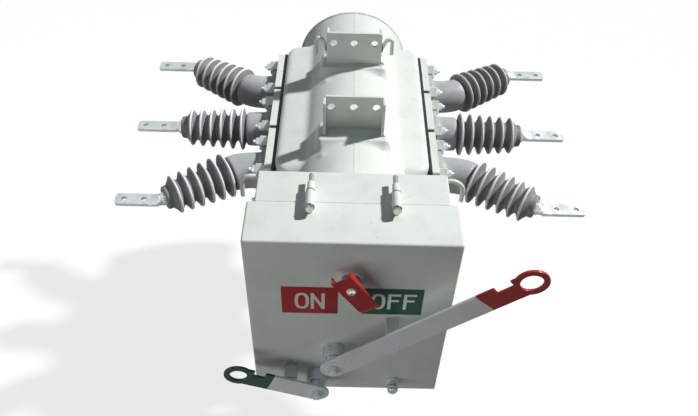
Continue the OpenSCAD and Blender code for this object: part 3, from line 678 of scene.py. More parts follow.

# %% [markdown]
# Black rubber seals the bushing plates. It swells out a little round the row of three plates and fills the slits
# between them, where it also stands for the shade in the gaps: painted shade. On each side one strip stands proud of
# the plates' inner edge, and one, set back all round, lies behind their faces.

# %% Gaskets and painted gap shade
LIP, LIP_OVER, SLIT_BACK, SLIT_INSET, SEAT_GAP, GASKET_EDGE = mm(0.6, 3.5, 3.0, 6.0, 0.3, 1.2)
gasket_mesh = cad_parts["bushing_gaskets"].data
gasket_mesh.materials.clear()
gasket_mesh.materials.append(finishes["seal_rubber"])
strips = []
for side, s in SIDES:
    front, rear = box_of(f"bushing_plate_{side}_front"), box_of(f"bushing_plate_{side}_rear")
    inner, outer = np.sort(np.abs(front[:, 0]))
    low, high = front[0, 1:] - LIP, np.array([rear[1, 1], front[1, 2]]) + LIP
    for reach, inset in ((inner + LIP_OVER, (0, 0)), (outer - SLIT_BACK, (SLIT_INSET, SLIT_BACK))):
        x_low, x_high = np.sort([s * (CHAMBER_SIDE + SEAT_GAP), s * reach])
        strips.append(rolled_box((x_low, *(low + inset)), (x_high, *(high - inset)), GASKET_EDGE, steps=4))
# Black seal strips, which also stand for the shade in the gaps: painted shade.
add_piece("gasket_and_shade_strips", strips, "seal_rubber", weld=False)
print("gasket strips:", len(strips))

# %% [markdown]
# ## Lifting bars
# Four round bars are bent and welded on: two hooks on the frame's sides and two lugs on the rear hanger. A
# few corner points give the route, rounding its corners gives the bends, and a circle carried along it gives the bar.

# %% Places of the bars
BAR_R, LEFT_BEND, RIGHT_BEND, FOOT_DROP = mm(5, 20, 29, 29)
hook_low, hook_high = box_of("lifting_hooks")
hook_y, hook_top, hook_out = (hook_low[1] + hook_high[1]) / 2, hook_high[2] - BAR_R, hook_high[0] - BAR_R
lug_low, lug_high = box_of("lifting_lugs")
lug_y, lug_top, lug_out = (lug_low[1] + lug_high[1]) / 2, lug_high[2], lug_high[0] - BAR_R
frame_side, hanger_side = box_of("mechanism_frame")[1, 0], box_of("rear_hanger")[1, 0]
lug_foot = lug_top - FOOT_DROP
print("hooks and lugs reach out by", np.round([hook_out - frame_side, lug_out - hanger_side], 4))

# %% Bent bars
BAR_POINTS, DOME_LEN, DOME_TIP = 80, 0.6 * BAR_R, 0.02


def evenly_spaced(path, count):
    """Points at even distances t along a path, found by interpolation, and those distances."""
    path = np.asarray(path, float)
    s = way_along(path)
    t = np.linspace(0, s[-1], count)
    return np.stack([np.interp(t, s, path[:, k]) for k in range(3)], -1), t


def hook_path(side, r):
    """From the frame's wall straight out, round a quarter circle (out - r + r sin t, top - r + r cos t), and down."""
    t = np.linspace(0, np.pi / 2, 24)
    x = np.concatenate([[frame_side], hook_out - r + r * np.sin(t), [hook_out]])
    z = np.concatenate([[hook_top], hook_top - r + r * np.cos(t), [hook_low[2]]])
    return np.column_stack([side * x, np.full_like(x, hook_y), z])


def bent_bar(path):
    """A round bar on a path; its radius closes over the last few millimetres, so the ends are domed."""
    path, t = evenly_spaced(path, BAR_POINTS)
    dome = np.clip(np.minimum(t, t[-1] - t) / DOME_LEN, 0, 1)
    return carried(path, BAR_R * np.sqrt(np.maximum(1 - (1 - dome) ** 2, DOME_TIP)), around=20, up=(0, 1, 0))


hooks = [bent_bar(hook_path(-1, LEFT_BEND)), bent_bar(hook_path(1, RIGHT_BEND))]
add_piece("lifting_hook_bars", hooks, stands_for=["lifting_hooks"])
lug_xz = [(hanger_side - 2 * MM, lug_foot - 2 * MM), (hanger_side + 3 * MM, lug_foot + 6 * MM),
          (hanger_side + 11 * MM, lug_top - 2 * MM), (lug_out, lug_top - 1 * MM), (lug_out, lug_top - 16 * MM),
          (lug_out, lug_low[2])]
right_lug = cut_corners([(x, lug_y, z) for x, z in lug_xz], rounds=4)
lugs = [bent_bar(right_lug), bent_bar(right_lug * [-1, 1, 1])]
add_piece("lifting_lug_bars", lugs, stands_for=["lifting_lugs"])
print("bent bars:", len(hooks + lugs))

# %% [markdown]
# The hangers and the lugs are welded on. Along the outer foot of a hanger the bead follows three sides, out along one
# flange, across the back of the plate and along the other flange; round a lug it is a small ring, which looks
# unpainted and dark in the photograph.

# %% Beads at the feet
BEAD_OUT, BEAD_LIFT, FOOT_BEAD, LUG_BEAD, RING_Y, RING_Z, RING_LIFT = mm(0.8, 0.6, 6, 5, 6, 8, 3)
FOOT_POINTS, LUG_POINTS = 160, 60
beads, rings = [], []
for node, plate_end in HANGERS:
    box = box_of(node)
    half, foot_z = box[1, 0] + BEAD_OUT, box[0, 2] + BEAD_LIFT
    open_y, back_y = box[1 - plate_end, 1], box[plate_end, 1] + (2 * plate_end - 1) * BEAD_OUT
    route = [(-half, open_y, foot_z), (-half, back_y, foot_z), (half, back_y, foot_z), (half, open_y, foot_z)]
    beads.append(weld_bead(evenly_spaced(route, FOOT_POINTS)[0], FOOT_BEAD))
t = np.linspace(0, 2 * np.pi, LUG_POINTS)
for side in (-1, 1):
    circle = np.column_stack([np.full_like(t, side * (hanger_side + BEAD_OUT)), lug_y + RING_Y * np.cos(t),
                              lug_foot + RING_LIFT + RING_Z * np.sin(t)])
    rings.append(weld_bead(circle, LUG_BEAD))
add_piece("foot_welds", beads, weld=False)
add_piece("lug_welds", rings, "burnt_weld", weld=False)
print("foot welds:", len(beads), "and lug welds:", len(rings))

# %% [markdown]
# ## Levers
# Each lever is cut from flat plate, with a hook at its end, and its rims are rounded by the paint. A bevel can
# tear at tight curves such as the hook's, so the plate is built anew from the outline of its front face: rows of the
# same points, each moved inward along its mitre as the rim curves over.

# %% Outline of a plate
FACES_FRONT = -0.99


def face_outline(node):
    """Points of a plate, the triangles of its front face, and for each point the next and the last one on its rim."""
    mesh = merged_copy(node)
    mesh.calc_loop_triangles()
    points = np.empty(3 * len(mesh.vertices))
    corners = np.empty(3 * len(mesh.loop_triangles), int)
    normals = np.empty(3 * len(mesh.loop_triangles))
    mesh.vertices.foreach_get("co", points)
    mesh.loop_triangles.foreach_get("vertices", corners)
    mesh.loop_triangles.foreach_get("normal", normals)
    bpy.data.meshes.remove(mesh)
    face = corners.reshape(-1, 3)[normals.reshape(-1, 3)[:, 1] < FACES_FRONT]
    start, end = face.ravel(), np.roll(face, -1, 1).ravel()
    count = len(points) // 3
    rim = ~np.isin(start * count + end, end * count + start)
    after, before = np.arange(count), np.arange(count)
    after[start[rim]], before[end[rim]] = end[rim], start[rim]
    return points.reshape(-1, 3), face, after, before


print("triangles on the main lever's face:", len(face_outline("main_lever")[1]))


# %% Lever plates
def rounded_plate(node, r, steps=4):
    """A flat plate with its rims rounded by r. Each point p of an outline has a mitre m that points inward, and the
    rim's rows are p + m r (1 - cos t), at a depth of r (1 - sin t) below the face, for t from 0 to 90 degrees."""
    points, face, after, before = face_outline(node)
    used = np.unique(face)
    number = np.full(len(points), -1)
    number[used] = np.arange(len(used))
    flat = points[used][:, [0, 2]]
    ahead = unit(points[after[used]][:, [0, 2]] - flat)
    behind = unit(flat - points[before[used]][:, [0, 2]])
    left = np.stack([-(ahead + behind)[:, 1], (ahead + behind)[:, 0]], -1)
    mitre = left / (1 + np.sum(ahead * behind, 1))[:, None]
    t = np.linspace(0, np.pi / 2, steps)
    front, back = points[:, 1].min(), points[:, 1].max()
    inset = r * np.concatenate([1 - np.sin(t), 1 - np.cos(t)])
    depth = np.concatenate([back - r * (1 - np.cos(t)), front + r * (1 - np.sin(t))])
    rows = flat + inset[:, None, None] * mitre
    rows = np.stack(np.broadcast_arrays(rows[..., 0], depth[:, None], rows[..., 1]), -1)
    here, there = np.arange(len(used)), number[after[used]]
    i = np.arange(2 * steps - 1)[:, None] * len(used)
    quads = np.stack([i + here, i + there, i + len(used) + there, i + len(used) + here], -1).reshape(-1, 4)
    return [(rows.reshape(-1, 3), quads), (rows[0], number[face][:, ::-1]), (rows[-1], number[face])]


LEVER_EDGE = 1.4 * MM
lever_sheets = {node: rounded_plate(node, LEVER_EDGE) for node in ("main_lever", "short_lever")}
print("points on each lever's rim:", {node: len(sheets[1][0]) for node, sheets in lever_sheets.items()})

# %% [markdown]
# A lever is grey, and its hook end has a signal colour. The line across it could be a second piece, but
# paint has no step. The shader finds it from the Object coordinate: its dot product with the lever's direction is
# the distance from the shaft, and a little noise makes the line ragged.

# %% Lever paint
LINE_RAGGED, LINE_SOFT = mm(1.5, 0.8)
# Shaft in X and Z, direction in radians from the right, distance of the line from the shaft, colours of the tip
LEVERS = {
    "main_lever": (mm(-32, -344.5), np.radians(40) + 0.14, 374 * MM, RED, RED_DUST),
    "short_lever": (mm(-68, -443.5), np.radians(180 - 21), 108 * MM, GREEN, GREEN_DUST)}


def lever_finish(name, pivot, rise, start, tip_colour, tip_dust):
    """Grey paint up to a distance along the lever, and the signal colour beyond it, with a slightly ragged line."""
    tree = new_finish(name, paint_group, {"Paint": linear(*LEVER_GREY), "Dust": linear(*DUST)}, 0.3, coat=0.08)
    shader = tree.nodes["Principled BSDF"]
    grey_paint = shader.inputs["Base Color"].links[0].from_socket
    tip_values = dict(zip(PAINT_INPUTS, (linear(*tip_colour), linear(*tip_dust), 0.3, 0.4)))
    tip = place(tree, "ShaderNodeGroup", tip_values, node_tree=paint_group)
    where = place(tree, "ShaderNodeTexCoord").outputs["Object"]
    way = np.array([np.cos(rise), np.sin(rise)])
    along = place(tree, "ShaderNodeVectorMath", {0: where, 1: (way[0], 0.0, way[1])}, operation="DOT_PRODUCT")
    ragged = times(tree, noise(tree, where, 160.0, 2.0), LINE_RAGGED)
    line = pivot @ way + start
    beyond = ramp(tree, plus(tree, along.outputs["Value"], ragged), line, line + LINE_SOFT)
    fill(tree, shader, {"Base Color": blend(tree, beyond, grey_paint, tip.outputs["Color"])})


for node, values in LEVERS.items():
    lever_finish(node + "_paint", *values)
    add_piece(node + "_plate", lever_sheets[node], node + "_paint", node + "_arm", [node], sharp=6)
print("painted levers:", list(LEVERS))

# %% [markdown]
# ## Rubber bushings
# A bushing is moulded silicone rubber on a conductor: a flange, a smooth base that may bend, a stack of thin sheds
# and an end cap. Its whole outside is a radius along a path, so one profile serves all six; only the path differs.

# %% Bushing profile
FLANGE_R, FLANGE_T, BASE_R, CORE_R, CAP_R, CAP_LEN = mm(59, 14, 43, 32, 28, 12)
BASE_LEN, STRAIGHT_LEN, BEND_R, BEND = *mm(36, 30, 100), np.radians(32)
SHED_COUNT, SHED_PITCH, SHED_R, SHED_TIP_R, SHED_ROOT, SHED_RIM = 6, *mm(25.6, 54, 45.5, 10, 1.0)
SHED_MIDDLE = 0.45


def base_end_of(p):
    """Length of the base: straight, or with its bend."""
    return BASE_LEN + (BEND_R * BEND if p else STRAIGHT_LEN)


def shed_rim(k, base_end):
    """Place along the bushing and radius of the rim of shed k; the last sheds are smaller."""
    return base_end + SHED_PITCH * (k + SHED_MIDDLE), SHED_R + (SHED_TIP_R - SHED_R) * k / (SHED_COUNT - 1)


def bushing_profile(base_end):
    """(way along, radius): flange, base, at every pitch a disc that thins from the core to its rim, and the cap."""
    middle, rim = shed_rim(np.arange(SHED_COUNT), base_end)
    core = np.full(SHED_COUNT, CORE_R)
    rise = np.array([-SHED_ROOT - 1 * MM, -SHED_ROOT + 1 * MM, -1.6 * SHED_RIM, -SHED_RIM])
    along = middle[:, None] + np.concatenate([rise, -rise[::-1]])
    radius = np.stack([core, core + 1.5 * MM, rim - 1.2 * MM, rim], 1)
    radius = np.concatenate([radius, radius[:, ::-1]], 1)
    sheds = np.stack([along.ravel(), radius.ravel()], 1)
    end = base_end + SHED_PITCH * SHED_COUNT
    start = [(0, FLANGE_R), (FLANGE_T - 2 * MM, FLANGE_R), (FLANGE_T, FLANGE_R - 2 * MM),
             (FLANGE_T, BASE_R + 6 * MM), (FLANGE_T + 6 * MM, BASE_R), (base_end - 8 * MM, BASE_R),
             (base_end, BASE_R - 2 * MM)]
    cap = [(end - 3 * MM, CORE_R), (end - 2 * MM, CAP_R), (end + CAP_LEN - 2 * MM, CAP_R),
           (end + CAP_LEN, CAP_R - 3 * MM)]
    return cut_corners(np.concatenate([start, sheds, cap]))


def rim_profile(k, base_end):
    """A thin near-white band over the rim of shed k, a painted highlight: (way along, radius), closed on itself."""
    band = [(-2.9, -3.0), (-1.8, -0.6), (-0.7, 0.1), (0.7, 0.1), (1.8, -0.6), (2.9, -3.0), (0.0, -3.4), (-2.9, -3.0)]
    return np.array(band) * MM + shed_rim(k, base_end)


print("bushing profile has", len(bushing_profile(base_end_of(0))), "rings")

# %% [markdown]
# The path runs straight off the plate, round a bend for the outer bushings, and straight on. The sheds get a darker
# rubber than the base, as painted shade, so the profile is split there into two pieces. The rims with their painted
# highlight are a third.

# %% Moulded bushings
PLATE_FACE = box_of("bushing_plate_right_middle")[1, 0]
UP = np.array([0, 0, 1.0])


def bushing_way(s, side, p):
    """Centre and direction at each distance s: straight off the plate, round the bend, and straight on."""
    bent = np.clip((s - BASE_LEN) / BEND_R, 0, BEND) * abs(p)
    after = np.maximum(s - BASE_LEN - abs(p) * BEND_R * BEND, 0)
    x = np.minimum(s, BASE_LEN) + BEND_R * np.sin(bent) + after * np.cos(bent)
    y = p * (BEND_R * (1 - np.cos(bent)) + after * np.sin(bent))
    centre = np.stack([side * (PLATE_FACE + x), BUSHING_MID + p * BUSHING_PITCH + y, np.full_like(x, AXIS_Z)], -1)
    return centre, np.stack([side * np.cos(bent), p * np.sin(bent), 0 * x], -1)


def moulded(profile, side, p, around=72, closed=True):
    """The profile's radius carried along a bushing's path; closed shuts both ends on the axis."""
    s, r = profile.T
    if closed:
        s, r = np.concatenate([s[:1], s, s[-1:]]), np.concatenate([[0], r, [0]])
    centre, along = bushing_way(s, side, p)
    across = np.cross(UP, along)
    t = full_turn(around)[None, :, None]
    return sheet(centre[:, None] + r[:, None, None] * (np.cos(t) * across[:, None] + np.sin(t) * UP))


for name, s, p in BUSHINGS:
    node, base_end = "bushing_" + name, base_end_of(p)
    profile = bushing_profile(base_end)
    split = np.argmin(np.abs(profile[:, 0] - base_end))
    add_piece(node + "_base", [moulded(profile[:split + 1], s, p)], "bushing_rubber", stands_for=[node])
    # The sheds get the darker rubber, as painted shade.
    add_piece(node + "_sheds", [moulded(profile[split:], s, p)], "shed_rubber_painted_shade", stands_for=[node])
    # A near-white band on every rim: a painted highlight.
    bands = [moulded(rim_profile(k, base_end), s, p, closed=False) for k in range(SHED_COUNT)]
    add_piece(node + "_rim_highlights", bands, "rim_highlight_rubber")
print("bushings:", len(BUSHINGS), "with", SHED_COUNT, "sheds each")

# %% [markdown]
# ## Terminals
# A tinned copper stud comes out of the cap through a lock nut and is forged flat into a palm with two bolt holes.
# The forged neck is a loft: its section changes from a circle to a flat rounded bar while its centre line swings
# from the bushing's direction to the palm's.

# %% Forged necks and lock nuts
NECK_LEN, NECK_R, PALM_HALF_W, PALM_HALF_T, NUT_FLATS, PALM_EDGE = mm(34, 12, 17, 4, 30, 1.2)
NUT_PROFILE = mm(0, 0, 0, 15, 1, 17, 8, 17, 9, 15, 9, 0).reshape(-1, 2)


def forged_neck(side, p, start, steps=20, around=40):
    """Superellipse sections |c|^n: as u goes 0 to 1 the half width and half height go from the neck's radius to the
    palm's halves, and n from 2 to 6."""
    u = np.linspace(0, 1, steps)
    ease = (u * u * (3 - 2 * u))[:, None]
    origin, along = bushing_way(np.array([start]), side, p)
    step = unit((1 - ease) * along + ease * np.array([side, 0.0, 0.0]))
    centre = origin + np.concatenate([[[0, 0, 0]], np.cumsum(step[1:], 0)]) * NECK_LEN / (steps - 1)
    across = np.cross(UP, step)
    wide, high = NECK_R + ease * (PALM_HALF_W - NECK_R), NECK_R + ease * (PALM_HALF_T - NECK_R)
    power = 2 / (2 + 4 * ease)
    c, s = np.cos(full_turn(around)), np.sin(full_turn(around))
    shape_c = np.sign(c) * np.abs(c) ** power * wide
    shape_s = np.sign(s) * np.abs(s) ** power * high
    points = centre[:, None] + shape_c[..., None] * across[:, None] + shape_s[..., None] * UP
    return closed_grid(points, centre[0], centre[-1])


for name, s, p in BUSHINGS:
    node, tip = "terminal_" + name, base_end_of(p) + SHED_PITCH * SHED_COUNT + CAP_LEN
    softened(node, PALM_EDGE, "tinned_metal")
    at, way = bushing_way(np.array([tip - 1 * MM]), s, p)
    nut = turned(NUT_PROFILE, at[0], way[0], flats=NUT_FLATS)
    add_piece(node + "_neck", [forged_neck(s, p, tip), nut], "tinned_metal")
print("necks and lock nuts:", len(BUSHINGS))

# %% [markdown]
# ## Bolts
# Every clamp is held by a hexagon bolt on a washer. A bolt head is a turned cone-edged disc cut by six flats, so
# the same turned surface makes washers, heads, nuts and threaded ends.

# %% Clamp bolts
CLAMP_TOP, CLAMP_BOLT_R, CLAMP_HEAD, TIP_IN = mm(21, 70, 9, 1)
# Flats and height of the head, width and thickness of the washer; length, radius and tip of the threaded end
CLAMP_BOLT, CLAMP_END, CLAMP_THREAD = mm(17, 8, 23, 1.8), mm(7, 4.6, 0.6), mm(1.8, 0.7)
HEAD_STRAIGHT, HEAD_TURNED, WASHER_STRAIGHT, WASHER_TURNED = 0.72, 0.86, 0.7, 0.94


def hex_bolt(at, way, flats, height, washer_w, washer_t):
    """Sheets of a washer and a hexagon head with its corners turned off, standing on a face along way."""
    corner, top, t, w = flats / 2 / np.cos(np.pi / 6), washer_t + height, washer_t, washer_w / 2
    head = [(t, 0), (t, corner), (t + HEAD_STRAIGHT * height, corner), (top, HEAD_TURNED * flats / 2), (top, 0)]
    washer = [(-t, 0), (-t, w), (WASHER_STRAIGHT * t, w), (t, WASHER_TURNED * w), (t, 0)]
    return [turned(head, at, way, flats=flats, around=36), turned(washer, at, way, around=28)]


def threaded_end(at, way, length, r, tip, rows, around, thread):
    """A threaded rod of radius r that stands out by its length and ends in a short cone."""
    rod = np.column_stack([np.linspace(0, length, rows), np.full(rows, r)])
    rod = np.concatenate([[(0, 0)], rod, [(length + tip, r - TIP_IN), (length + tip, 0)]])
    return turned(rod, at, way, around=around, thread=thread)


bolts = []
for name, s, p in BUSHINGS:
    for angle in np.radians([45, 135, 225, 315]):
        seat = np.array([s * (PLATE_FACE + CLAMP_TOP), BUSHING_MID + p * BUSHING_PITCH + CLAMP_BOLT_R * np.sin(angle),
                         AXIS_Z + CLAMP_BOLT_R * np.cos(angle)])
        bolts += hex_bolt(seat, (s, 0, 0), *CLAMP_BOLT)
        bolts.append(threaded_end(seat + [s * CLAMP_HEAD, 0, 0], (s, 0, 0), *CLAMP_END, rows=22, around=20,
                                  thread=CLAMP_THREAD))
add_piece("clamp_bolts", bolts, "tinned_metal")
print("clamp bolts:", len(bolts) // 3)

# %% [markdown]
# The pointer is held on its shaft by one round-headed screw with a cross slot. The screw is a turned dome in a pale,
# nearly matt zinc, a painted highlight; its slot is two short black bars let into the top, painted shade for the
# recess. The earth stud has a thread and a large head, and the bolts of the levers have turned faces in the same pale
# zinc, also a painted highlight.

# %% Pointer screw, earth stud and lever bolts
FRONT, BACK = (0, -1, 0), (0, 1, 0)
SCREW_Z, SCREW_FLANGE_R, SCREW_R, SCREW_RISE = mm(-93.5, 9.8, 8.6, 6.8)
EARTH_ROWS, EARTH_THREAD_LEN, EARTH_THREAD_R, EARTH_TIP_R, EARTH_HEAD_BACK = 60, *mm(13, 6.15, 5.2, 9.4)
EARTH_HEAD, EARTH_THREAD = mm(20, 8.2, 25, 1.6), mm(1.75, 0.8)
HEAD_FACE = np.array([(-0.5, 0), (-0.5, 1), (0.3, 1), (0.7, 0.93), (0.7, 0)])
LEVER_FACE_R = 9.2 * MM


def front_middle(node):
    """The middle of the front side of a solid's box."""
    low, high = box_of(node)
    return np.array([(low[0] + high[0]) / 2, low[1], (low[2] + high[2]) / 2])


screw_at = np.array([0, box_of("indicator_pointer")[0, 1], SCREW_Z])
t = np.linspace(0, np.pi / 2, 12)
flange = [(-0.5 * MM, 0), (-0.5 * MM, SCREW_FLANGE_R), (1.0 * MM, SCREW_FLANGE_R), mm(1.2, 9.4)]
screw = np.concatenate([flange, np.column_stack([1.2 * MM + SCREW_RISE * np.sin(t), SCREW_R * np.cos(t)])])
# The screw head is a pale, nearly matt zinc: a painted highlight.
add_piece("pointer_screw", [turned(screw, screw_at, FRONT, around=40)], "glint_zinc", "indicator")
# Black bars in the slot: painted shade for the recess.
slot_shade_bars = [rolled_box(screw_at + mm(-a, -8.1, -b), screw_at + mm(a, -6.4, b), 0.3 * MM, steps=3)
             for a, b in ((3.6, 0.7), (0.7, 3.6))]
add_piece("pointer_screw_slot_shade", slot_shade_bars, "seal_rubber", "indicator", weld=False)
earth_at = front_middle("earth_stud")
rows = np.linspace(0, EARTH_THREAD_LEN, EARTH_ROWS)[1:]
rod = np.concatenate([[(0, 0), (0, EARTH_TIP_R)], np.column_stack([rows, np.full_like(rows, EARTH_THREAD_R)]),
                      [(EARTH_THREAD_LEN, 0)]])
add_piece("earth_thread", [turned(rod, earth_at, BACK, around=28, thread=EARTH_THREAD)], "zinc_plate")
add_piece("earth_bolt_head", hex_bolt(earth_at + [0, EARTH_HEAD_BACK, 0], FRONT, *EARTH_HEAD), "zinc_plate")
# The lever bolts get pale, nearly matt faces: a painted highlight.
for node, body in (("main_bolt", "main_lever_arm"), ("short_bolt", "short_lever_arm")):
    face = turned(HEAD_FACE * [MM, LEVER_FACE_R], front_middle(node), FRONT, around=36)
    add_piece(node + "_face", [face], "glint_zinc", body)
print("pointer screw at", np.round(screw_at, 4))

# %% [markdown]
# Two long draw bolts seem to hold the cover to the frame. Each runs through a sleeve in front and one behind, with
# black rings where the front sleeve ends, painted shade for the gaps there, and bare thread past the rear one. All of
# these are turned about the bolt's axis, so their places come from the boxes of the sleeves and the bolts.

# %% Draw bolts
BOLT_INSET, SHADE_RING_IN_R, SHADE_RING_PROUD, BOLT_FACE_R, BOLT_THREAD_R, BOLT_TIP = mm(10, 5, 0.25, 7.4, 5.2, 0.3)
sleeve_box, rear_box, bolt_box = box_of("cover_sleeves"), box_of("frame_sleeves"), box_of("draw_bolts")
bolt_z = bolt_box[:, 2].mean()
SHADE_RING_R = sleeve_box[1, 2] - bolt_z + SHADE_RING_PROUD
THREAD_LEN = bolt_box[1, 1] - rear_box[1, 1]
rings, threads, faces = [], [], []
for x in (bolt_box[0, 0] + BOLT_INSET, bolt_box[1, 0] - BOLT_INSET):
    # Black rings at the ends of the front sleeve: painted shade for the gaps there.
    for y, t in ((sleeve_box[1, 1], 2.2 * MM), (sleeve_box[0, 1], 1.4 * MM)):
        ring = [(-t / 2, SHADE_RING_IN_R), (-t / 2, SHADE_RING_R), (t / 2, SHADE_RING_R), (t / 2, SHADE_RING_IN_R)]
        rings.append(turned(ring, (x, y, bolt_z), BACK))
    threads.append(threaded_end((x, rear_box[1, 1], bolt_z), BACK, THREAD_LEN, BOLT_THREAD_R, BOLT_TIP,
                                rows=90, around=28, thread=mm(1.5, 0.8)))
    faces.append(turned(HEAD_FACE * [MM, BOLT_FACE_R], (x, bolt_box[0, 1], bolt_z), FRONT, around=32))
# The head faces of the draw bolts are pale zinc as well: a painted highlight.
add_piece("draw_bolt_faces", faces, "glint_zinc")
# These black rings are painted shade.
add_piece("draw_bolt_shade_rings", rings, "seal_rubber", weld=False)
add_piece("draw_bolt_threads", threads, "zinc_plate")
print("draw bolts with", len(rings), "rings of radius", round(SHADE_RING_R * 1000, 1), "mm")

# %% [markdown]
# ## Position plates and their letters
# Two thin enamelled plates sit behind the pointer and say ON and OFF. A letter is a few strokes, and a stroke is a
# flat bar between two points; the round letter is a ring between two flattened ovals. They stand a hair in front
# of the plate, and where strokes cross, each is a hair in front of the last, so no two faces share a plane.


# %% Strokes
def flat_bar(start, end, width, y_front, y_back):
    """A bar from start to end in X and Z: its four corners are the two ends moved half a width to either side."""
    start, end = np.asarray(start, float), np.asarray(end, float)
    along = unit(end - start)
    side = np.array([-along[1], along[0]]) * width / 2
    corners = np.stack([start - side, end - side, end + side, start + side])
    front, back = (np.column_stack([corners[:, 0], np.full(4, y), corners[:, 1]]) for y in (y_front, y_back))
    faces = [(0, 1, 2, 3), (7, 6, 5, 4), (0, 4, 5, 1), (1, 5, 6, 2), (2, 6, 7, 3), (3, 7, 4, 0)]
    return np.concatenate([front, back]), np.array(faces)


def oval_ring(middle, half, width, y_front, y_back, around=64, power=2.6):
    """Ring between two ovals |x/a|^n + |z/b|^n = 1, with its front, outer, back and inner faces."""
    round_way = np.stack([np.cos(full_turn(around)), np.sin(full_turn(around))], -1)
    oval = np.sign(round_way) * np.abs(round_way) ** (2 / power)
    outer, inner = middle + half * oval, middle + (half - width) * oval
    loops = [(inner, y_front), (outer, y_front), (outer, y_back), (inner, y_back), (inner, y_front)]
    return sheet(np.stack([np.column_stack([xz[:, 0], np.full(around, y), xz[:, 1]]) for xz, y in loops]))


print("a bar has", len(flat_bar((0, 0), (0, 1), 0.1, 0, 0.1)[1]), "faces")

# %% Letters
PLATE_THICK, STROKE, LETTER_RISE, LETTER_SUNK, LAYER = mm(1.2, 6.6, 0.25, 0.1, 0.02)
PLATE_Y = FACE_Y - PLATE_THICK
LETTER_Y, LETTER_BACK = PLATE_Y - LETTER_RISE, PLATE_Y + LETTER_SUNK


def letter(kind, left, right, top, bottom):
    """Sheets of one of the letters O, N and F in a rectangle of X and Z."""
    inset = STROKE / 2
    if kind == "O":
        low, high = np.array([left, bottom]), np.array([right, top])
        return [oval_ring((low + high) / 2, (high - low) / 2, STROKE, LETTER_Y, LETTER_BACK)]
    first, last, bar = left + inset, right - inset, (top + bottom) / 2 + inset
    strokes = [((first, bottom), (first, top))]
    if kind == "N":
        strokes += [((last, bottom), (last, top)), ((first, top - inset), (last, bottom + inset))]
    else:
        strokes += [((left, top - inset), (right, top - inset)), ((left, bar), (last, bar))]
    return [flat_bar(p, q, STROKE, LETTER_Y - k * LAYER, LETTER_BACK) for k, (p, q) in enumerate(strokes)]


print("a letter N has", len(letter("N", *mm(0, 28, 50, 0))), "strokes")

# %% [markdown]
# The plates are rolled boxes with hardly any edge. A table gives the corners of each plate and the left and right
# edge of every letter, in millimetres, as they were measured from the photograph.

# %% Position plates
# Left, right, bottom and top of the plate, top and bottom of the letters, and the letters with their two edges
PLATES = {
    "on_plate": ("label_red", "signal_red", (-140, -25.4, -215.4, -130), (-148, -199.5),
                 [("O", -113, -84), ("N", -80.5, -52)]),
    "off_plate": ("label_green", "lever_paint", (25, 147.5, -214, -130.5), (-146, -196),
                  [("O", 42, 71), ("F", 76, 102), ("F", 108, 134)])}
PLATE_ROUND, PLATE_SUNK = mm(0.6, 0.5)
strokes = []
for name, (finish, slot, edges, heights, word) in PLATES.items():
    left, right, low, high = mm(*edges)
    plate = rolled_box((left, PLATE_Y, low), (right, FACE_Y + PLATE_SUNK, high), PLATE_ROUND, steps=4)
    add_piece(name, [plate], finish)
    strokes += sum((letter(kind, *mm(*sides, *heights)) for kind, *sides in word), [])
add_piece("position_letters", strokes, "letter_white", weld=False)
print("letters made of", len(strokes), "strokes")

# %% [markdown]
# ## Floor and light
# The switch hangs free over a plain pale floor. A sun behind the right shoulder of the tank gives the bright tops and
# the short hard shadows of the photograph. A large bluish panel overhead is the sky, and a low one in front keeps the
# shaded faces readable. Floor and world are white to the camera and to mirrors, but give the model little soft light.

# %% Floor
FLOOR_Z, FLOOR_HALF = -0.80, 14.0
WHITE, PALE, DARK = (1, 1, 1, 1), (0.9, 0.9, 0.9, 1), (0.08, 0.08, 0.08, 1)


def share_seen(tree, by_camera, by_mirror):
    """A value that is by_camera for the camera's own rays, by_mirror for mirrored ones and 0 for soft light."""
    rays = place(tree, "ShaderNodeLightPath").outputs
    mirrored = maths(tree, "MAXIMUM", rays["Is Glossy Ray"], rays["Is Transmission Ray"])
    return maths(tree, "MAXIMUM", times(tree, rays["Is Camera Ray"], by_camera), times(tree, mirrored, by_mirror))


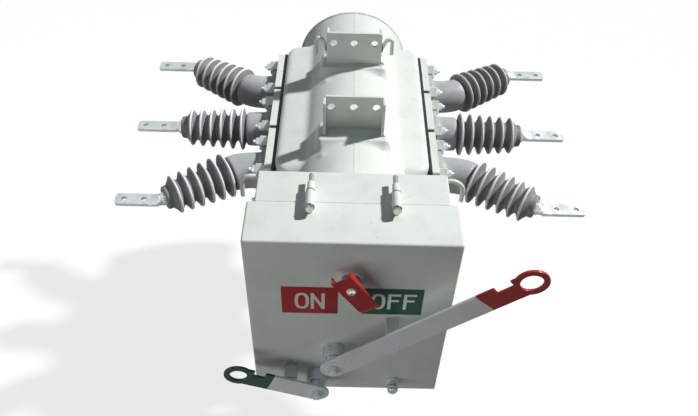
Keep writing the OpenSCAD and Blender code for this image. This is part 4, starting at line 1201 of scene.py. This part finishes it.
floor_points = np.array([[-1, -1, 0], [1, -1, 0], [1, 1, 0], [-1, 1, 0]]) * FLOOR_HALF + [0, 0, FLOOR_Z]
floor_mesh = bpy.data.meshes.new("floor")
floor_mesh.from_pydata(floor_points.tolist(), [], [(0, 1, 2, 3)])
floor = bpy.data.objects.new("floor", floor_mesh)
scene.collection.objects.link(floor)
floor_paint = bpy.data.materials.new("floor_paint")
floor_paint.use_nodes = True
tree = floor_paint.node_tree
shader = tree.nodes["Principled BSDF"]
direct = place(tree, "ShaderNodeLightPath").outputs["Is Camera Ray"]
fill(tree, shader, {"Base Color": blend(tree, direct, DARK, PALE), "Roughness": 0.9})
glow = place(tree, "ShaderNodeEmission", {"Color": WHITE, "Strength": 1.0})
mixed = place(tree, "ShaderNodeMixShader", {0: share_seen(tree, 0.78, 0.3), 1: shader.outputs[0], 2: glow.outputs[0]})
fill(tree, tree.nodes["Material Output"], {"Surface": mixed.outputs[0]})
floor_mesh.materials.append(floor_paint)
print("floor at", FLOOR_Z)

# %% Lamps and world
LAMP_AIM = np.array([0.0, 0.05, -0.2])


def add_lamp(name, kind, at, power, **settings):
    """A lamp of some kind at a place, facing the middle of the switch."""
    lamp = bpy.data.lights.new(name, kind)
    lamp.energy = power
    for setting, value in settings.items():
        setattr(lamp, setting, value)
    back = unit(np.array(at) - LAMP_AIM)
    right = unit(np.cross([0.0, 0.0, 1.0], back))
    stand(name, lamp, [right, np.cross(back, right), back], at)


add_lamp("key_sun", "SUN", (4.6, 1.85, 4.8), 4.2, angle=np.radians(3.2))
add_lamp("sky_panel", "AREA", (-0.3, 0.2, 3.2), 17, size=4.0, color=(0.76, 0.89, 1.0))
add_lamp("front_panel", "AREA", (-1.5, -2.1, -0.18), 15, shape="RECTANGLE", size=2.6, size_y=0.6)
world = bpy.data.worlds.new("studio")
scene.world = world
world.use_nodes = True
tree = world.node_tree
studio = place(tree, "ShaderNodeBackground", {"Color": (0.94, 0.97, 1.0, 1), "Strength": 0.03})
white = place(tree, "ShaderNodeBackground", {"Color": WHITE, "Strength": 1.0})
mixed = place(tree, "ShaderNodeMixShader", {0: share_seen(tree, 1.0, 0.6), 1: studio.outputs[0], 2: white.outputs[0]})
fill(tree, tree.nodes["World Output"], {"Surface": mixed.outputs[0]})
print("lamps:", [light.name for light in bpy.data.lights])
